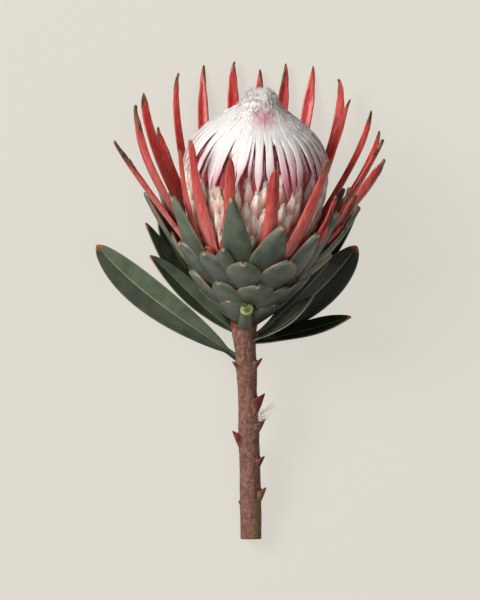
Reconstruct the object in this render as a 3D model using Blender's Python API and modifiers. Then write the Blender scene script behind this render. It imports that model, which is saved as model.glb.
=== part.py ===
"""A cut king protea, lying on the backs of two of its rear bracts and the rim of its cut stem.

Metres, +Z up, with the surface that it lies on at z = 0. The flower is drawn upright, with its stem
along local Z and its front towards local -Y, and the empty that carries every piece lays it down.
"""

import math
import random

import bmesh
import bpy
from mathutils import Matrix, Vector

MM = 0.001
SEED = 11

# How the flower lies: the stem rises by TILT from its cut end to the head
TILT = math.radians(12.5)
HEAD_BASE_X, HEAD_BASE_Y = 2.6 * MM, -8.6 * MM
FLAT_SPOT_DEPTH = 0.3 * MM
HEAD_LEAN = math.radians(4)

# Driving sizes of the flower
STEM_LENGTH = 116 * MM
STEM_RADIUS = 5.2 * MM
STEM_END_LEAN = 3.6 * MM
STRAIGHT_SHARE = 0.03
GAP = 0.35 * MM
BRACT_FOOT_RADIUS, BRACT_FOOT_HEIGHT = 28 * MM, 39 * MM

# Turned outlines, as radius and height in mm above the head's base, from the top down
RECEPTACLE_OUTLINE = ((0, 36), (31.8, 36), (31.8, 35), (29.4, 32), (24.5, 26.2), (20.4, 20.4),
                      (16.2, 14.4), (11, 8.4), (6.6, 3.5), (0, 3.5))
DOME_OUTLINE = ((0, 110.4), (12, 108.6), (22, 103.6), (28, 98.4), (31.4, 92.5), (33.6, 86),
                (34.2, 78), (33, 67), (30.4, 56), (26.4, 45), (26.2, 36.35), (0, 36.35))
CROWN_OUTLINE = ((0, 124.6), (4.6, 124.4), (8.2, 122.4), (9.8, 118.6), (11.4, 115.4), (15, 112),
                 (20.6, 108.2), (22.6, 106.2), (21.6, 104.6), (12, 109.4), (0, 111.2))
STRAND_LINE = ((14.5, 110.4), (21.4, 106.4), (25.6, 102.8), (29.4, 98.4), (32.6, 92.5), (34.8, 86),
               (36.4, 77))
BRACT_RING_OUTLINE = ((26.6, 42.4), (28.1, 42.4), (28.5, 36.4), (26.6, 36.4))

# Long pink inner bracts: turn from the front at the tip, tip radius, tip height, width, turn at the
# foot, and how far out and up the middle of its bow lies, as shares of the way to the tip
UPRIGHT, FLARED, HUGGING, STRAIGHT = (0.6, 0.5), (0.8, 0.66), (0.85, 0.45), (0.75, 0.7)
BOWED, HIGH_BOWED = (1, 0.62), (1.05, 0.72)
INNER_BRACTS = (
    (-18, 44.2, 102.4, 7.6, -19, HUGGING), (11, 43.9, 98.2, 8, 14, HUGGING),
    (43, 50.4, 103, 8, 32, HUGGING), (-48.6, 45.3, 106.2, 8, -38, HUGGING),
    (60, 46, 80, 6, 52, HUGGING), (77, 64.5, 98, 8, 74, FLARED), (88, 61.7, 104, 6.6, 88, FLARED),
    (99, 60.6, 104, 6.8, 103, BOWED), (113, 60, 110, 6, 114, HIGH_BOWED),
    (126, 55, 112.6, 5, 123, UPRIGHT), (138, 60, 118.1, 7.6, 128, HIGH_BOWED),
    (167, 56, 121.6, 6.8, 166, UPRIGHT), (180, 54, 117.8, 6.6, 180, UPRIGHT),
    (-166, 56, 120.9, 7, -166, UPRIGHT), (-137, 60, 116.2, 6.4, -129, BOWED),
    (-122, 59, 91, 5.6, -120, UPRIGHT), (-108, 60.3, 112.8, 7, -112, HIGH_BOWED),
    (-91, 61.5, 112, 7.4, -101, BOWED), (-74, 74, 100, 6.4, -74, STRAIGHT),
    (-60, 44.4, 98, 5.5, -52, HUGGING),
)
RESTING_BRACTS = (
    (-153.5, 63.6, 117.2, 7, -142, UPRIGHT), (155.2, 62.5, 120.6, 7, 146, UPRIGHT),
)

# Tall green bracts of the cup, in an outer and an inner row: turn, radius and height of the tip,
# width, turn of the foot
OUTER_SCALES = (
    (-19, 42.4, 54.5, 15, -22), (18.5, 46, 69, 19.5, 8), (46, 45, 62, 17.5, 40),
    (74, 49, 60, 16, 70), (102, 50, 60, 15, 102), (131, 47, 60, 16, 131),
    (158, 44.5, 59, 16, 158), (-175, 42.3, 57, 16, -175), (-148, 45, 59, 16, -148),
    (-120, 48, 60, 15, -120), (-93, 54, 66.5, 15, -90),
)
OUTER_SCALE_FOOT = (26.8, 30)
INNER_SCALES = (
    (-15.6, 45.7, 82.4, 15.5, -8), (-57, 48.5, 75, 16, -42), (62, 47, 71, 15, 60),
    (84, 53, 69, 13, 84), (118, 51.5, 68, 12, 118), (145, 48.5, 70, 13, 145),
    (172, 45, 69, 13, 172), (-161, 46, 70, 13, -161), (-134, 48.5, 69, 13, -134),
    (-106, 50.5, 70, 12, -106),
)
INNER_SCALE_FOOT = (30.6, 32.4)

# Short green bracts below them, by the radius and height of their feet: turn, radius and height of
# the tip, width, turn of the foot
SHORT_SCALES = {
    (9.2, 6.4): (
        (-22, 24.6, 21.9, 15.5, -12), (35, 23.4, 19.5, 13, 34), (86, 24, 21.5, 14.5, 82),
        (137, 23.5, 21, 15, 137), (-172, 23.5, 21, 15, -172), (-121, 23.8, 21, 15, -121),
        (-72, 24, 21.5, 15, -64)),
    (14.5, 12.4): (
        (-28, 31.9, 32.3, 15, -19), (42, 30.2, 29.6, 16.5, 29), (66, 32.4, 33.2, 16, 60),
        (102, 31.5, 32.5, 17.5, 102), (140, 31.5, 32.5, 18, 140), (178, 31.5, 32.5, 18, 178),
        (-144, 31.5, 32.5, 18, -144), (-104, 31.5, 32.5, 18, -104), (-66, 31.5, 32, 16, -56)),
    (17.8, 17.6): ((7.5, 32.5, 33.2, 17.5, 9),),
    (22, 25): (
        (-5, 41.4, 47.9, 17, -5), (28, 41.4, 48.5, 18, 20), (77, 41, 44.5, 17, 68),
        (-34.5, 41.6, 49.5, 15, -24), (-58, 41.8, 50, 15, -43), (108, 40, 47, 17.5, 108),
        (141, 39.6, 47, 18, 141), (174, 39.6, 47, 18, 174), (-153, 39.6, 47, 18, -153),
        (-121, 40, 47, 17.5, -121), (-88, 40.6, 47.5, 16, -80)),
}

SCALE_BOW = (0.62, 0.45)
FLORET_HEIGHTS = (43, 50, 57, 63.5, 69)
FLORETS_IN_ROW = 20
FLORET_LENGTH, FLORET_HALF_WIDTH, FLORET_HALF_DEPTH = 12, 3.3 * MM, 1.8 * MM
STRAND_COUNT = 34
STRAND_END_HEIGHT, STRAND_END_SPREAD = 82.5, 2.5
STRAND_SWING = 2.5

# Leaves: centre line as foot, two handles and tip, in mm right, up and front of the head's base;
# then the width, the direction that the upper face looks, and how far the margins rise to that face
LEAVES = {
    "leaf_left_broad": (((-1, -19, 0), (-24, 2.4, 7), (-52, 16.4, 3), (-73.5, 41, -6)),
                        17, (-0.1, 0.35, 1), 0.2),
    "leaf_left_second": (((-1, -6, -1), (-16, 2, -3), (-31, 20, -5), (-47, 36.5, -3)),
                         11.5, (0.45, 0.55, 0.75), 0.3),
    "leaf_left_third": (((-1, -5, -3), (-21, 5, -15), (-37, 22, -18), (-49, 51, -11)),
                        11, (0.75, 0.1, 0.5), 0.3),
    "leaf_left_rear": (((0, -7, -3), (-14, 4, -24), (-35, 22, -29), (-43, 46, -31)),
                       13.5, (0.7, -0.2, 0.75), 0.3),
    "leaf_right_broad": (((1, -11, -1), (23, 1, -9), (42, 14, -17), (56.5, 36.5, -17)),
                         17.5, (0.05, 0.3, 1), 0.15),
    "leaf_right_low": (((1, -9.5, 1), (16, -6.2, 0), (36, -2, 2), (53.5, 6.2, 3)),
                       12.5, (-0.1, 1, 0.35), 0.25),
    "leaf_right_curled": (((5, -6, 3), (15, 2, 15), (27, 10, 18), (34.5, 21, 13)),
                          11, (-0.6, 0.7, 0.3), 0.5),
    "leaf_right_upper": (((2, -7, -1), (18, 2, -3), (28, 14, -4), (42, 32, -5)),
                         11, (-0.75, 0.6, 0.1), 0.3),
    "leaf_right_rear": (((1, -5, -3), (14, 2, -22), (38, 20, -31), (56, 50, -26)),
                        12.5, (-0.6, 0.0, 0.75), 0.3),
}
BROAD_LEAF = 15
LEAF_STALK_SHARE = 0.12

# Thickness along the middle of a blade and at its margins, and how far its margins bend inwards as
# a share of its half width
SHORT_SCALE_BLADE = (2 * MM, 1 * MM, 0.3)
TALL_SCALE_BLADE = (1.6 * MM, 0.9 * MM, 0.2)
HUGGING_BRACT_BLADE = (1.4 * MM, 0.8 * MM, 0.3)
FREE_BRACT_BLADE = (1.4 * MM, 0.8 * MM, 0.6)
STRAND_BLADE = (0.8 * MM, 0.8 * MM, 0)
LEAF_THICK, LEAF_THIN = 2.3 * MM, 0.8 * MM

# The stem: height below the head and radius, in mm
STEM_STATIONS = (
    (2.6, 7.0), (0, 6.5), (-3, 6.15), (-8, 5.6), (-13, 5.2), (-20, 5.4), (-27, 5.1),
    (-34, 4.8), (-44, 4.9), (-54, 5.4), (-64, 5.2), (-80, 5.3), (-93, 5.5), (-103, 5.4),
    (-STEM_LENGTH / MM, STEM_RADIUS / MM),
)
# Stubs of leaf stalks on the stem: height and turn of the tip, its distance from the stem's centre
# line, girth under the scar, and how far the stub runs down the stem
STALK_STUBS = (
    (-14.4, 78, 8.9, 3.8, 7), (-33.8, 72, 9.3, 5.2, 11), (-48, 82, 8.9, 5.6, 7),
    (-54.6, -80, 8.6, 4.8, 11), (-67.6, 76, 7.8, 4, 7), (-85.2, 82, 8.2, 4.2, 9),
    (-94, -88, 6.6, 2.6, 4), (-26, 172, 8, 3.8, 7), (-62, -165, 8.2, 4, 8),
)
# How far a stub's foot stands from the centre line, how fast its scar falls towards the tip, and the
# size of its foot as a share of its girth
STUB_FOOT_RADIUS, STUB_SLANT, STUB_FOOT_SHARE = 4.4, 0.9, 0.22


def clear_scene():
    for old in list(bpy.data.objects):
        bpy.data.objects.remove(old, do_unlink=True)


def in_collection(obj, collection):
    for holder in list(obj.users_collection):
        holder.objects.unlink(obj)
    collection.objects.link(obj)
    return obj


def plant_material(name, srgb, roughness):
    """A matt, non-metallic surface of the given sRGB hex colour."""
    linear = [(int(srgb[i:i + 2], 16) / 255) ** 2.2 for i in (0, 2, 4)]
    material = bpy.data.materials.new(name)
    material.use_nodes = True
    shader = material.node_tree.nodes["Principled BSDF"]
    shader.inputs["Base Color"].default_value = (*linear, 1)
    shader.inputs["Roughness"].default_value = roughness
    shader.inputs["Metallic"].default_value = 0
    material.diffuse_color = (*linear, 1)
    return material


def around(turn, radius, height):
    """A point of the head, by its turn from the front (right is positive), radius and height."""
    return Vector((radius * math.sin(turn), -radius * math.cos(turn), height))


def bezier(points, s):
    """The point at share s of a quadratic or cubic curve."""
    while len(points) > 1:
        points = [a.lerp(b, s) for a, b in zip(points, points[1:])]
    return points[0]


def along(curve, s):
    """The unit direction of travel of a curve at share s."""
    return (curve(min(s + 0.01, 1)) - curve(max(s - 0.01, 0))).normalized()


def outline_radius(outline, height):
    """The radius of a turned outline in mm at a height in mm, on the outer side of the shape."""
    for (r0, h0), (r1, h1) in zip(outline, outline[1:]):
        if h0 >= height >= h1 and h0 > h1:
            return r0 + (r1 - r0) * (h0 - height) / (h0 - h1)
    return outline[-1][0]


def lean_head(mesh):
    """The head leans to the right of the stem, about its own base."""
    mesh.transform(Matrix.Rotation(HEAD_LEAN, 4, "Y"))


def evaluated_copy(obj):
    """The object's mesh with its modifiers applied."""
    graph = bpy.context.evaluated_depsgraph_get()
    return bpy.data.meshes.new_from_object(obj.evaluated_get(graph))


def weld_caps(mesh):
    """Joins the loose caps that a curve's bevel leaves at its ends."""
    shape = bmesh.new()
    shape.from_mesh(mesh)
    bmesh.ops.remove_doubles(shape, verts=shape.verts, dist=1e-6)
    shape.to_mesh(mesh)
    shape.free()


def turned(name, outline, steps, collection):
    """A solid of revolution from an outline in mm that runs down its outer side."""
    points = [(r * MM, 0, h * MM) for r, h in outline]
    edges = [(i, i + 1) for i in range(len(points) - 1)]
    if outline[0][0] > 0:
        edges.append((len(points) - 1, 0))
    profile = bpy.data.meshes.new(name + "_profile")
    profile.from_pydata(points, edges, [])
    obj = in_collection(bpy.data.objects.new(name, profile), collection)
    screw = obj.modifiers.new("turn", "SCREW")
    screw.steps = screw.render_steps = steps
    screw.use_merge_vertices = True
    screw.merge_threshold = 1e-6
    obj.data = evaluated_copy(obj)
    obj.modifiers.clear()
    return obj


def blade(name, curve, side_at, half_width, rows, columns, section, collection):
    """A thin blade along a curve. side_at(s) points across it, half_width(s) is its reach to each
    side, and section holds its thickness at the middle and at the margins, and its cupping: how far
    the margins bend to the inner face, as a share of its half width, once past its flatter foot."""
    thick, thin, cupping = section
    shape = bmesh.new()
    bmesh.ops.create_grid(shape, x_segments=columns, y_segments=rows, size=1)
    middles = {}
    for vertex in shape.verts:
        across, s = vertex.co.x, (vertex.co.y + 1) / 2
        direction = along(curve, s)
        side = side_at(s)
        side = (side - direction * side.dot(direction)).normalized()
        outward = side.cross(direction)
        reach = half_width(s)
        bend = abs(across) ** 1.6 * cupping * reach * min(0.3 + 2 * s, 1)
        vertex.co = curve(s) + side * across * reach * (1 - 0.25 * cupping ** 2) - outward * bend
        middles[vertex] = 1 - abs(across)
    bmesh.ops.triangulate(shape, faces=shape.faces)
    shape.verts.index_update()
    weights = {vertex.index: share for vertex, share in middles.items()}
    mesh = bpy.data.meshes.new(name)
    shape.to_mesh(mesh)
    shape.free()
    obj = in_collection(bpy.data.objects.new(name, mesh), collection)
    group = obj.vertex_groups.new(name="middle")
    for index, share in weights.items():
        group.add([index], share, "REPLACE")
    solidify = obj.modifiers.new("thickness", "SOLIDIFY")
    solidify.thickness = thick
    solidify.vertex_group = "middle"
    solidify.thickness_vertex_group = thin / thick
    solidify.offset = 0
    return obj


def outer_surface(mesh):
    """Fills hollows that a join sealed and drops loose scraps: only the largest surface stays."""
    shape = bmesh.new()
    shape.from_mesh(mesh)
    waiting = set(shape.faces)
    islands = []
    while waiting:
        front = [waiting.pop()]
        island = set(front)
        while front:
            edges = [edge for edge in front.pop().edges if len(edge.link_faces) == 2]
            beside = {face for edge in edges for face in edge.link_faces}
            found = beside & waiting
            waiting -= found
            island |= found
            front.extend(found)
        islands.append(island)
    largest = max(islands, key=len)
    strays = [face for face in shape.faces if face not in largest]
    bmesh.ops.delete(shape, geom=strays, context="FACES")
    shape.to_mesh(mesh)
    shape.free()


def fuse(body, pieces, collection):
    """The body with its repeats joined to it as one solid."""
    group = bpy.data.collections.new(body.name + "_repeats")
    bpy.context.scene.collection.children.link(group)
    for piece in pieces:
        in_collection(piece, group)
    union = body.modifiers.new("join", "BOOLEAN")
    union.operation = "UNION"
    union.operand_type = "COLLECTION"
    union.collection = group
    union.solver = "EXACT"
    body.data = evaluated_copy(body)
    body.modifiers.clear()
    outer_surface(body.data)
    for piece in pieces:
        bpy.data.objects.remove(piece, do_unlink=True)
    bpy.data.collections.remove(group)
    return in_collection(body, collection)


def head_blade(name, foot, tip, bow, width, pointed, rows, columns, section, collection):
    """A bract of the head. Its foot and tip are (turn, radius, height), and bow places its handle
    between them, as the share of the way outwards and the share of the way up."""
    (foot_turn, foot_radius, foot_height), (tip_turn, tip_radius, tip_height) = foot, tip
    handle_radius = foot_radius + (tip_radius - foot_radius) * bow[0]
    handle_height = foot_height + (tip_height - foot_height) * bow[1]

    def curve(s):
        flat = bezier([Vector((foot_radius, foot_height)), Vector((handle_radius, handle_height)),
                       Vector((tip_radius, tip_height))], s)
        return around(foot_turn + (tip_turn - foot_turn) * s, flat.x, flat.y)

    def side_at(s):
        turn = foot_turn + (tip_turn - foot_turn) * s
        return Vector((math.cos(turn), math.sin(turn), 0))

    def half_width(s):
        return max(width / 2 * pointed(s), 0.45 * MM)

    return blade(name, curve, side_at, half_width, rows, columns, section, collection)


def lance_shape(s):
    """Share of the full width of a long bract: a strap that narrows a little, with a short point."""
    return (1 - 0.28 * s) * (1 - 0.8 * (max(s - 0.86, 0) / 0.14) ** 1.2)


def scale_shape(s):
    """Share of the full width of a short green bract: widest half way up, with a blunt tip."""
    return 1 - 0.35 * max(1 - 2 * s, 0) ** 2 - 0.7 * max(2 * s - 1, 0) ** 2


def tall_scale_shape(s):
    """Share of the full width of a tall green bract: broad shoulders and a clear point."""
    return (0.75 + 0.25 * math.sin(math.pi * min(s / 0.9, 1))) * (1 - s ** 4) ** 0.9


def leaf_shape(s):
    """Share of the full width of a leaf: a narrow stalk, then a long ellipse with a blunt tip."""
    if s < LEAF_STALK_SHARE:
        return 0.17
    t = (s - LEAF_STALK_SHARE) / (1 - LEAF_STALK_SHARE)
    return 0.17 + 0.83 * math.sin(math.pi * t ** 1.15) ** 0.8 if t < 0.98 else 0.2


def make_receptacle(collection, material):
    """The green cup: a solid receptacle with rows of overlapping green bracts grown on it."""
    body = turned("green_bract_cup", RECEPTACLE_OUTLINE, 22, collection)
    scales = []
    kinds = [(row, foot, scale_shape, 3, 3 if foot[1] > 20 else 2, SHORT_SCALE_BLADE)
             for foot, row in SHORT_SCALES.items()]
    kinds += [(row, foot, tall_scale_shape, 4, 3, TALL_SCALE_BLADE)
              for row, foot in ((OUTER_SCALES, OUTER_SCALE_FOOT), (INNER_SCALES, INNER_SCALE_FOOT))]
    for row, (foot_r, foot_h), shape, cuts, columns, section in kinds:
        for tip_turn, tip_r, tip_h, width, foot_turn in row:
            foot = (math.radians(foot_turn), foot_r * MM, foot_h * MM)
            tip = (math.radians(tip_turn), tip_r * MM, tip_h * MM)
            scales.append(head_blade("scale", foot, tip, SCALE_BOW, width * MM, shape, cuts,
                                     columns, section, collection))
    fuse(body, scales, collection)
    lean_head(body.data)
    body.data.materials.clear()
    body.data.materials.append(material)
    return body


def make_inner_bracts(collection, material):
    """The crown of long pink bracts, all grown from one ring round the foot of the dome."""
    body = turned("pink_bract_crown", BRACT_RING_OUTLINE, 32, collection)
    bracts = []
    for tip_turn, tip_r, tip_h, width, foot_turn, bow in INNER_BRACTS + RESTING_BRACTS:
        foot = (math.radians(foot_turn), BRACT_FOOT_RADIUS, BRACT_FOOT_HEIGHT)
        tip = (math.radians(tip_turn), tip_r * MM, tip_h * MM)
        section = HUGGING_BRACT_BLADE if bow is HUGGING else FREE_BRACT_BLADE
        bracts.append(head_blade("bract", foot, tip, bow, width * MM, lance_shape, 7, 2, section,
                                 collection))
    fuse(body, bracts, collection)
    lean_head(body.data)
    body.data.materials.clear()
    body.data.materials.append(material)
    return body


def make_dome(collection, material):
    """The dome of closed florets: a core covered with rows of upright, overlapping floret tips."""
    body = turned("floret_dome", DOME_OUTLINE, 28, collection)
    draw = random.Random(SEED)
    florets = []
    for row, height in enumerate(FLORET_HEIGHTS):
        for i in range(FLORETS_IN_ROW):
            turn = 2 * math.pi * (i + 0.5 * (row % 2)) / FLORETS_IN_ROW + draw.uniform(-0.03, 0.03)
            low, length = height + draw.uniform(-1, 1), FLORET_LENGTH + draw.uniform(-1, 1)
            foot = around(turn, (outline_radius(DOME_OUTLINE, low) - 1.2) * MM, low * MM)
            tip_height = low + length
            tip = around(turn, (outline_radius(DOME_OUTLINE, tip_height) + 0.9) * MM, tip_height * MM)
            florets.append(floret(foot, tip, turn, collection))
    fuse(body, florets, collection)
    lean_head(body.data)
    body.data.materials.clear()
    body.data.materials.append(material)
    return body


def floret(foot, tip, turn, collection):
    """One closed floret: a four-sided spindle from foot to tip, broad in its lower half."""
    shape = bmesh.new()
    bmesh.ops.create_uvsphere(shape, u_segments=4, v_segments=3, radius=1)
    side = Vector((math.cos(turn), math.sin(turn), 0))
    outward = side.cross((tip - foot).normalized())
    for vertex in shape.verts:
        across, depth, s = vertex.co.x, vertex.co.y, (vertex.co.z + 1) / 2
        girth = 1.18 if s < 0.5 else 0.86
        vertex.co = (foot.lerp(tip, s) + side * across * girth * FLORET_HALF_WIDTH
                     - outward * depth * girth * FLORET_HALF_DEPTH)
    bmesh.ops.recalc_face_normals(shape, faces=shape.faces)
    mesh = bpy.data.meshes.new("floret")
    shape.to_mesh(mesh)
    shape.free()
    return in_collection(bpy.data.objects.new("floret", mesh), collection)


def make_silk_crown(collection, material):
    """The white silky top: a knob with a skirt of free strands that hang over the dome."""
    body = turned("silk_crown", CROWN_OUTLINE, 28, collection)
    draw = random.Random(SEED + 1)
    strands = []
    for i in range(STRAND_COUNT):
        turn = 2 * math.pi * i / STRAND_COUNT
        end = STRAND_END_HEIGHT + draw.uniform(-STRAND_END_SPREAD, STRAND_END_SPREAD)
        swing = math.radians(draw.uniform(-STRAND_SWING, STRAND_SWING))
        strands.append(strand(turn, swing, end, collection))
    fuse(body, strands, collection)
    lean_head(body.data)
    body.data.materials.clear()
    body.data.materials.append(material)
    return body


def strand(turn, swing, end, collection):
    """One silky strand, which hangs close over the dome and ends free."""
    top = STRAND_LINE[0][1]

    def curve(s):
        height = top + (end - top) * s
        return around(turn + swing * s, outline_radius(STRAND_LINE, height) * MM, height * MM)

    def side_at(s):
        return -Vector((math.cos(turn), math.sin(turn), 0))

    def half_width(s):
        return (1.2 + 1.1 * math.sin(math.pi * min(s, 0.6)) - 1.2 * max(s - 0.7, 0) / 0.3) * MM

    return blade("strand", curve, side_at, half_width, 5, 1, STRAND_BLADE, collection)


def make_stem(collection, material):
    """The woody stem, with the stubs of the leaf stalks that were stripped from it."""
    line = bpy.data.curves.new("stem", "CURVE")
    line.dimensions = "3D"
    line.bevel_depth = 1
    line.bevel_resolution = 2
    line.use_fill_caps = True
    spline = line.splines.new("POLY")
    spline.points.add(len(STEM_STATIONS) - 1)
    for point, (height, radius) in zip(spline.points, STEM_STATIONS):
        point.co = (*stem_axis(height * MM), 1)
        point.radius = radius * MM
    curve_object = in_collection(bpy.data.objects.new("stem_line", line), collection)
    body = in_collection(bpy.data.objects.new("stem", evaluated_copy(curve_object)), collection)
    weld_caps(body.data)
    bpy.data.objects.remove(curve_object, do_unlink=True)
    stubs = [stalk_stub(*row, collection) for row in STALK_STUBS]
    fuse(body, stubs, collection)
    body.data.materials.clear()
    body.data.materials.append(material)
    return body


def stem_axis(height):
    """The stem's centre at a height below the head, in metres: it bends most just under the head."""
    share = max(height / -STEM_LENGTH - STRAIGHT_SHARE, 0)
    bent = (1 - math.exp(-2 * share)) / (1 - math.exp(-2))
    return Vector((STEM_END_LEAN * bent, 0, height))


def stalk_stub(height, turn, tip_radius, girth, drop, collection):
    """What is left of one leaf stalk: a spur that runs down the stem, with a slanted scar on top whose
    outer rim is the tip."""
    turn = math.radians(turn)
    outward, across = around(turn, 1, 0), around(turn + math.pi / 2, 1, 0)
    shape = bmesh.new()
    bmesh.ops.create_cone(shape, cap_ends=True, segments=8, radius1=STUB_FOOT_SHARE, radius2=1, depth=2)
    for vertex in shape.verts:
        share = (vertex.co.z + 1) / 2
        out, side = vertex.co.x * girth / 2, vertex.co.y * girth / 2
        middle = STUB_FOOT_RADIUS + (tip_radius - girth / 2 - STUB_FOOT_RADIUS) * share
        level = height + (share - 1) * drop + share * (out - girth / 2) * STUB_SLANT
        vertex.co = stem_axis(level * MM) + (outward * (middle + out) + across * side) * MM
    mesh = bpy.data.meshes.new("stub")
    shape.to_mesh(mesh)
    shape.free()
    return in_collection(bpy.data.objects.new("stub", mesh), collection)


def make_leaf(name, points, width, upper_face, fold, collection, material):
    """A leathery leaf: a flat stalk that widens to a long blade, folded a little along its midrib."""
    line = [Vector((right, -front, up)) * MM for right, up, front in points]
    face = Vector((upper_face[0], -upper_face[2], upper_face[1])).normalized()

    def curve(s):
        return bezier(line, s)

    def side_at(s):
        return -face.cross(along(curve, s))

    def half_width(s):
        return width / 2 * MM * leaf_shape(s)

    columns = 4 if width > BROAD_LEAF else 2
    section = (LEAF_THICK, LEAF_THIN, -fold)
    leaf = blade(name, curve, side_at, half_width, 9, columns, section, collection)
    leaf.data.materials.append(material)
    return leaf


def make_cut_stalk(collection, material):
    """A green leaf stalk that was cut short just under the head, in front."""
    foot, tip = Vector((0.4, -13.4, 4.2)) * MM, Vector((1.2, -24.6, 17.4)) * MM
    shape = bmesh.new()
    bmesh.ops.create_cone(shape, cap_ends=True, segments=10, radius1=2.6 * MM, radius2=3.1 * MM,
                          depth=(tip - foot).length)
    turning = (tip - foot).to_track_quat("Z", "Y").to_matrix().to_4x4()
    bmesh.ops.transform(shape, matrix=Matrix.Translation((foot + tip) / 2) @ turning, verts=shape.verts)
    mesh = bpy.data.meshes.new("cut_leaf_stalk")
    shape.to_mesh(mesh)
    shape.free()
    obj = in_collection(bpy.data.objects.new("cut_leaf_stalk", mesh), collection)
    obj.data.materials.append(material)
    return obj


def cut_from(obj, cutter):
    """Takes a cutter out of a piece for good."""
    cut = obj.modifiers.new("cut", "BOOLEAN")
    cut.operation = "DIFFERENCE"
    cut.object = cutter
    cut.solver = "EXACT"
    mesh = evaluated_copy(obj)
    obj.modifiers.clear()
    obj.vertex_groups.clear()
    obj.data = mesh


def hidden(obj):
    obj.hide_render = True
    obj.display_type = "WIRE"
    return obj


def make_stem_clearance(stem, cutters):
    """The stem grown by the gap that each leaf keeps from it."""
    grown = in_collection(bpy.data.objects.new("stem_clearance", stem.data.copy()), cutters)
    shape = bmesh.new()
    shape.from_mesh(grown.data)
    for vertex in shape.verts:
        centre = stem_axis(vertex.co.z)
        out = Vector((vertex.co.x - centre.x, vertex.co.y, 0))
        if out.length > 1e-6:
            vertex.co += out.normalized() * GAP
    shape.to_mesh(grown.data)
    shape.free()
    return hidden(grown)


def make_surface_block(cutters):
    """Everything under the surface that the flower lies on."""
    bpy.ops.mesh.primitive_cube_add(size=1, location=(0, 0, -0.05))
    block = bpy.context.object
    block.name = "surface_block"
    block.scale = (0.6, 0.6, 0.1)
    bpy.ops.object.transform_apply(location=False, rotation=False, scale=True)
    return hidden(in_collection(block, cutters))


def lay_down(pieces, collection):
    """Turns the upright flower on its back, so that it rests on its rear bracts and its stem's end."""
    rise = STEM_LENGTH * math.sin(TILT) + STEM_RADIUS * math.cos(TILT) - FLAT_SPOT_DEPTH
    carrier = bpy.data.objects.new("protea_laid_down", None)
    carrier.location = (HEAD_BASE_X, HEAD_BASE_Y, rise)
    carrier.rotation_euler = (TILT - math.pi / 2, 0, 0)
    collection.objects.link(carrier)
    for piece in pieces:
        piece.parent = carrier
    bpy.context.view_layer.update()


def main():
    clear_scene()
    collection = bpy.data.collections.new("king_protea")
    cutters = bpy.data.collections.new("cutters")
    for made in (collection, cutters):
        bpy.context.scene.collection.children.link(made)
    bark = plant_material("bark", "7C5A4C", 0.85)
    scale_green = plant_material("green_bract", "6E7C6C", 0.6)
    bract_pink = plant_material("pink_bract", "C9504A", 0.5)
    floret_pink = plant_material("floret", "C99A94", 0.7)
    silk = plant_material("silk", "E9DEDB", 0.9)
    leaf_green = plant_material("leaf", "40523F", 0.45)

    stem = make_stem(collection, bark)
    pieces = [
        stem,
        make_receptacle(collection, scale_green),
        make_inner_bracts(collection, bract_pink),
        make_dome(collection, floret_pink),
        make_silk_crown(collection, silk),
    ]
    clearance = make_stem_clearance(stem, cutters)
    leaves = [make_leaf(name, *row, collection, leaf_green) for name, row in LEAVES.items()]
    leaves.append(make_cut_stalk(collection, leaf_green))
    for leaf in leaves:
        cut_from(leaf, clearance)
    pieces += leaves
    lay_down([*pieces, clearance], collection)
    surface_block = make_surface_block(cutters)
    for piece in (stem, bpy.data.objects["pink_bract_crown"]):
        cut_from(piece, surface_block)


main()
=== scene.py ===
"""A cut king protea laid on a pale table, seen from above in the photograph's framing."""

import math
import random

import bpy
from mathutils import Matrix, Vector, noise


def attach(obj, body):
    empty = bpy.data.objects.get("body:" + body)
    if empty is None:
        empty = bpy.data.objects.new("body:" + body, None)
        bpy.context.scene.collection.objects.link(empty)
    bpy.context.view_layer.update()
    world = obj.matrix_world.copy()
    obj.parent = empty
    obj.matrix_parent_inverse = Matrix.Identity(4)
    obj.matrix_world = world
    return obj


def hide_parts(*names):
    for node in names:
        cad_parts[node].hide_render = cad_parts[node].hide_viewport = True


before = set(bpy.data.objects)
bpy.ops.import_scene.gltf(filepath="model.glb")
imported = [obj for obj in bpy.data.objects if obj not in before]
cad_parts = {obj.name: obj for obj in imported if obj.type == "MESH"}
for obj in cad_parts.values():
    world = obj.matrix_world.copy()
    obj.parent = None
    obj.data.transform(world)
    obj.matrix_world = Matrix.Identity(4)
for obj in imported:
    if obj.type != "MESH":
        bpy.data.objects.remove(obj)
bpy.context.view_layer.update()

# The stem: a woody shoot of one year, cut off at its lower end. Its bark is still alive and
# nearly smooth, with cork specks, and each stripped leaf has left a dark red stub on a swelling.
MM = 0.001
TILT = math.radians(12.5)
STEM_LENGTH, STEM_RADIUS, STEM_END_LEAN, STRAIGHT_SHARE = 116 * MM, 5.2 * MM, 3.6 * MM, 0.03
REST_HEIGHT = STEM_LENGTH * math.sin(TILT) + STEM_RADIUS * math.cos(TILT) - 0.3 * MM
HEAD_BASE = Vector((2.6 * MM, -8.6 * MM, REST_HEIGHT))
LAID_DOWN = Matrix.Translation(HEAD_BASE) @ Matrix.Rotation(TILT - math.pi / 2, 4, "X")
STEM_TOP = 2.6
CUT_SLANT, CUT_DROP = math.radians(20), 0.9 * MM
STEM_SIDES, STEM_RINGS, STUB_SIDES, STUB_RINGS = 48, 200, 14, 9
SKIN_GRID = 0.4 * MM
# Heights, down from the foot of the head, and the stem's radius there
STEM_STATIONS = (
    (2.6, 7.0), (0, 6.5), (-3, 6.15), (-8, 5.6), (-13, 5.2), (-20, 5.4), (-27, 5.1), (-34, 4.8), (-44, 4.9),
    (-54, 5.4), (-64, 5.2), (-80, 5.3), (-93, 5.5), (-103, 5.4), (-116, 5.2),
)
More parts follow.
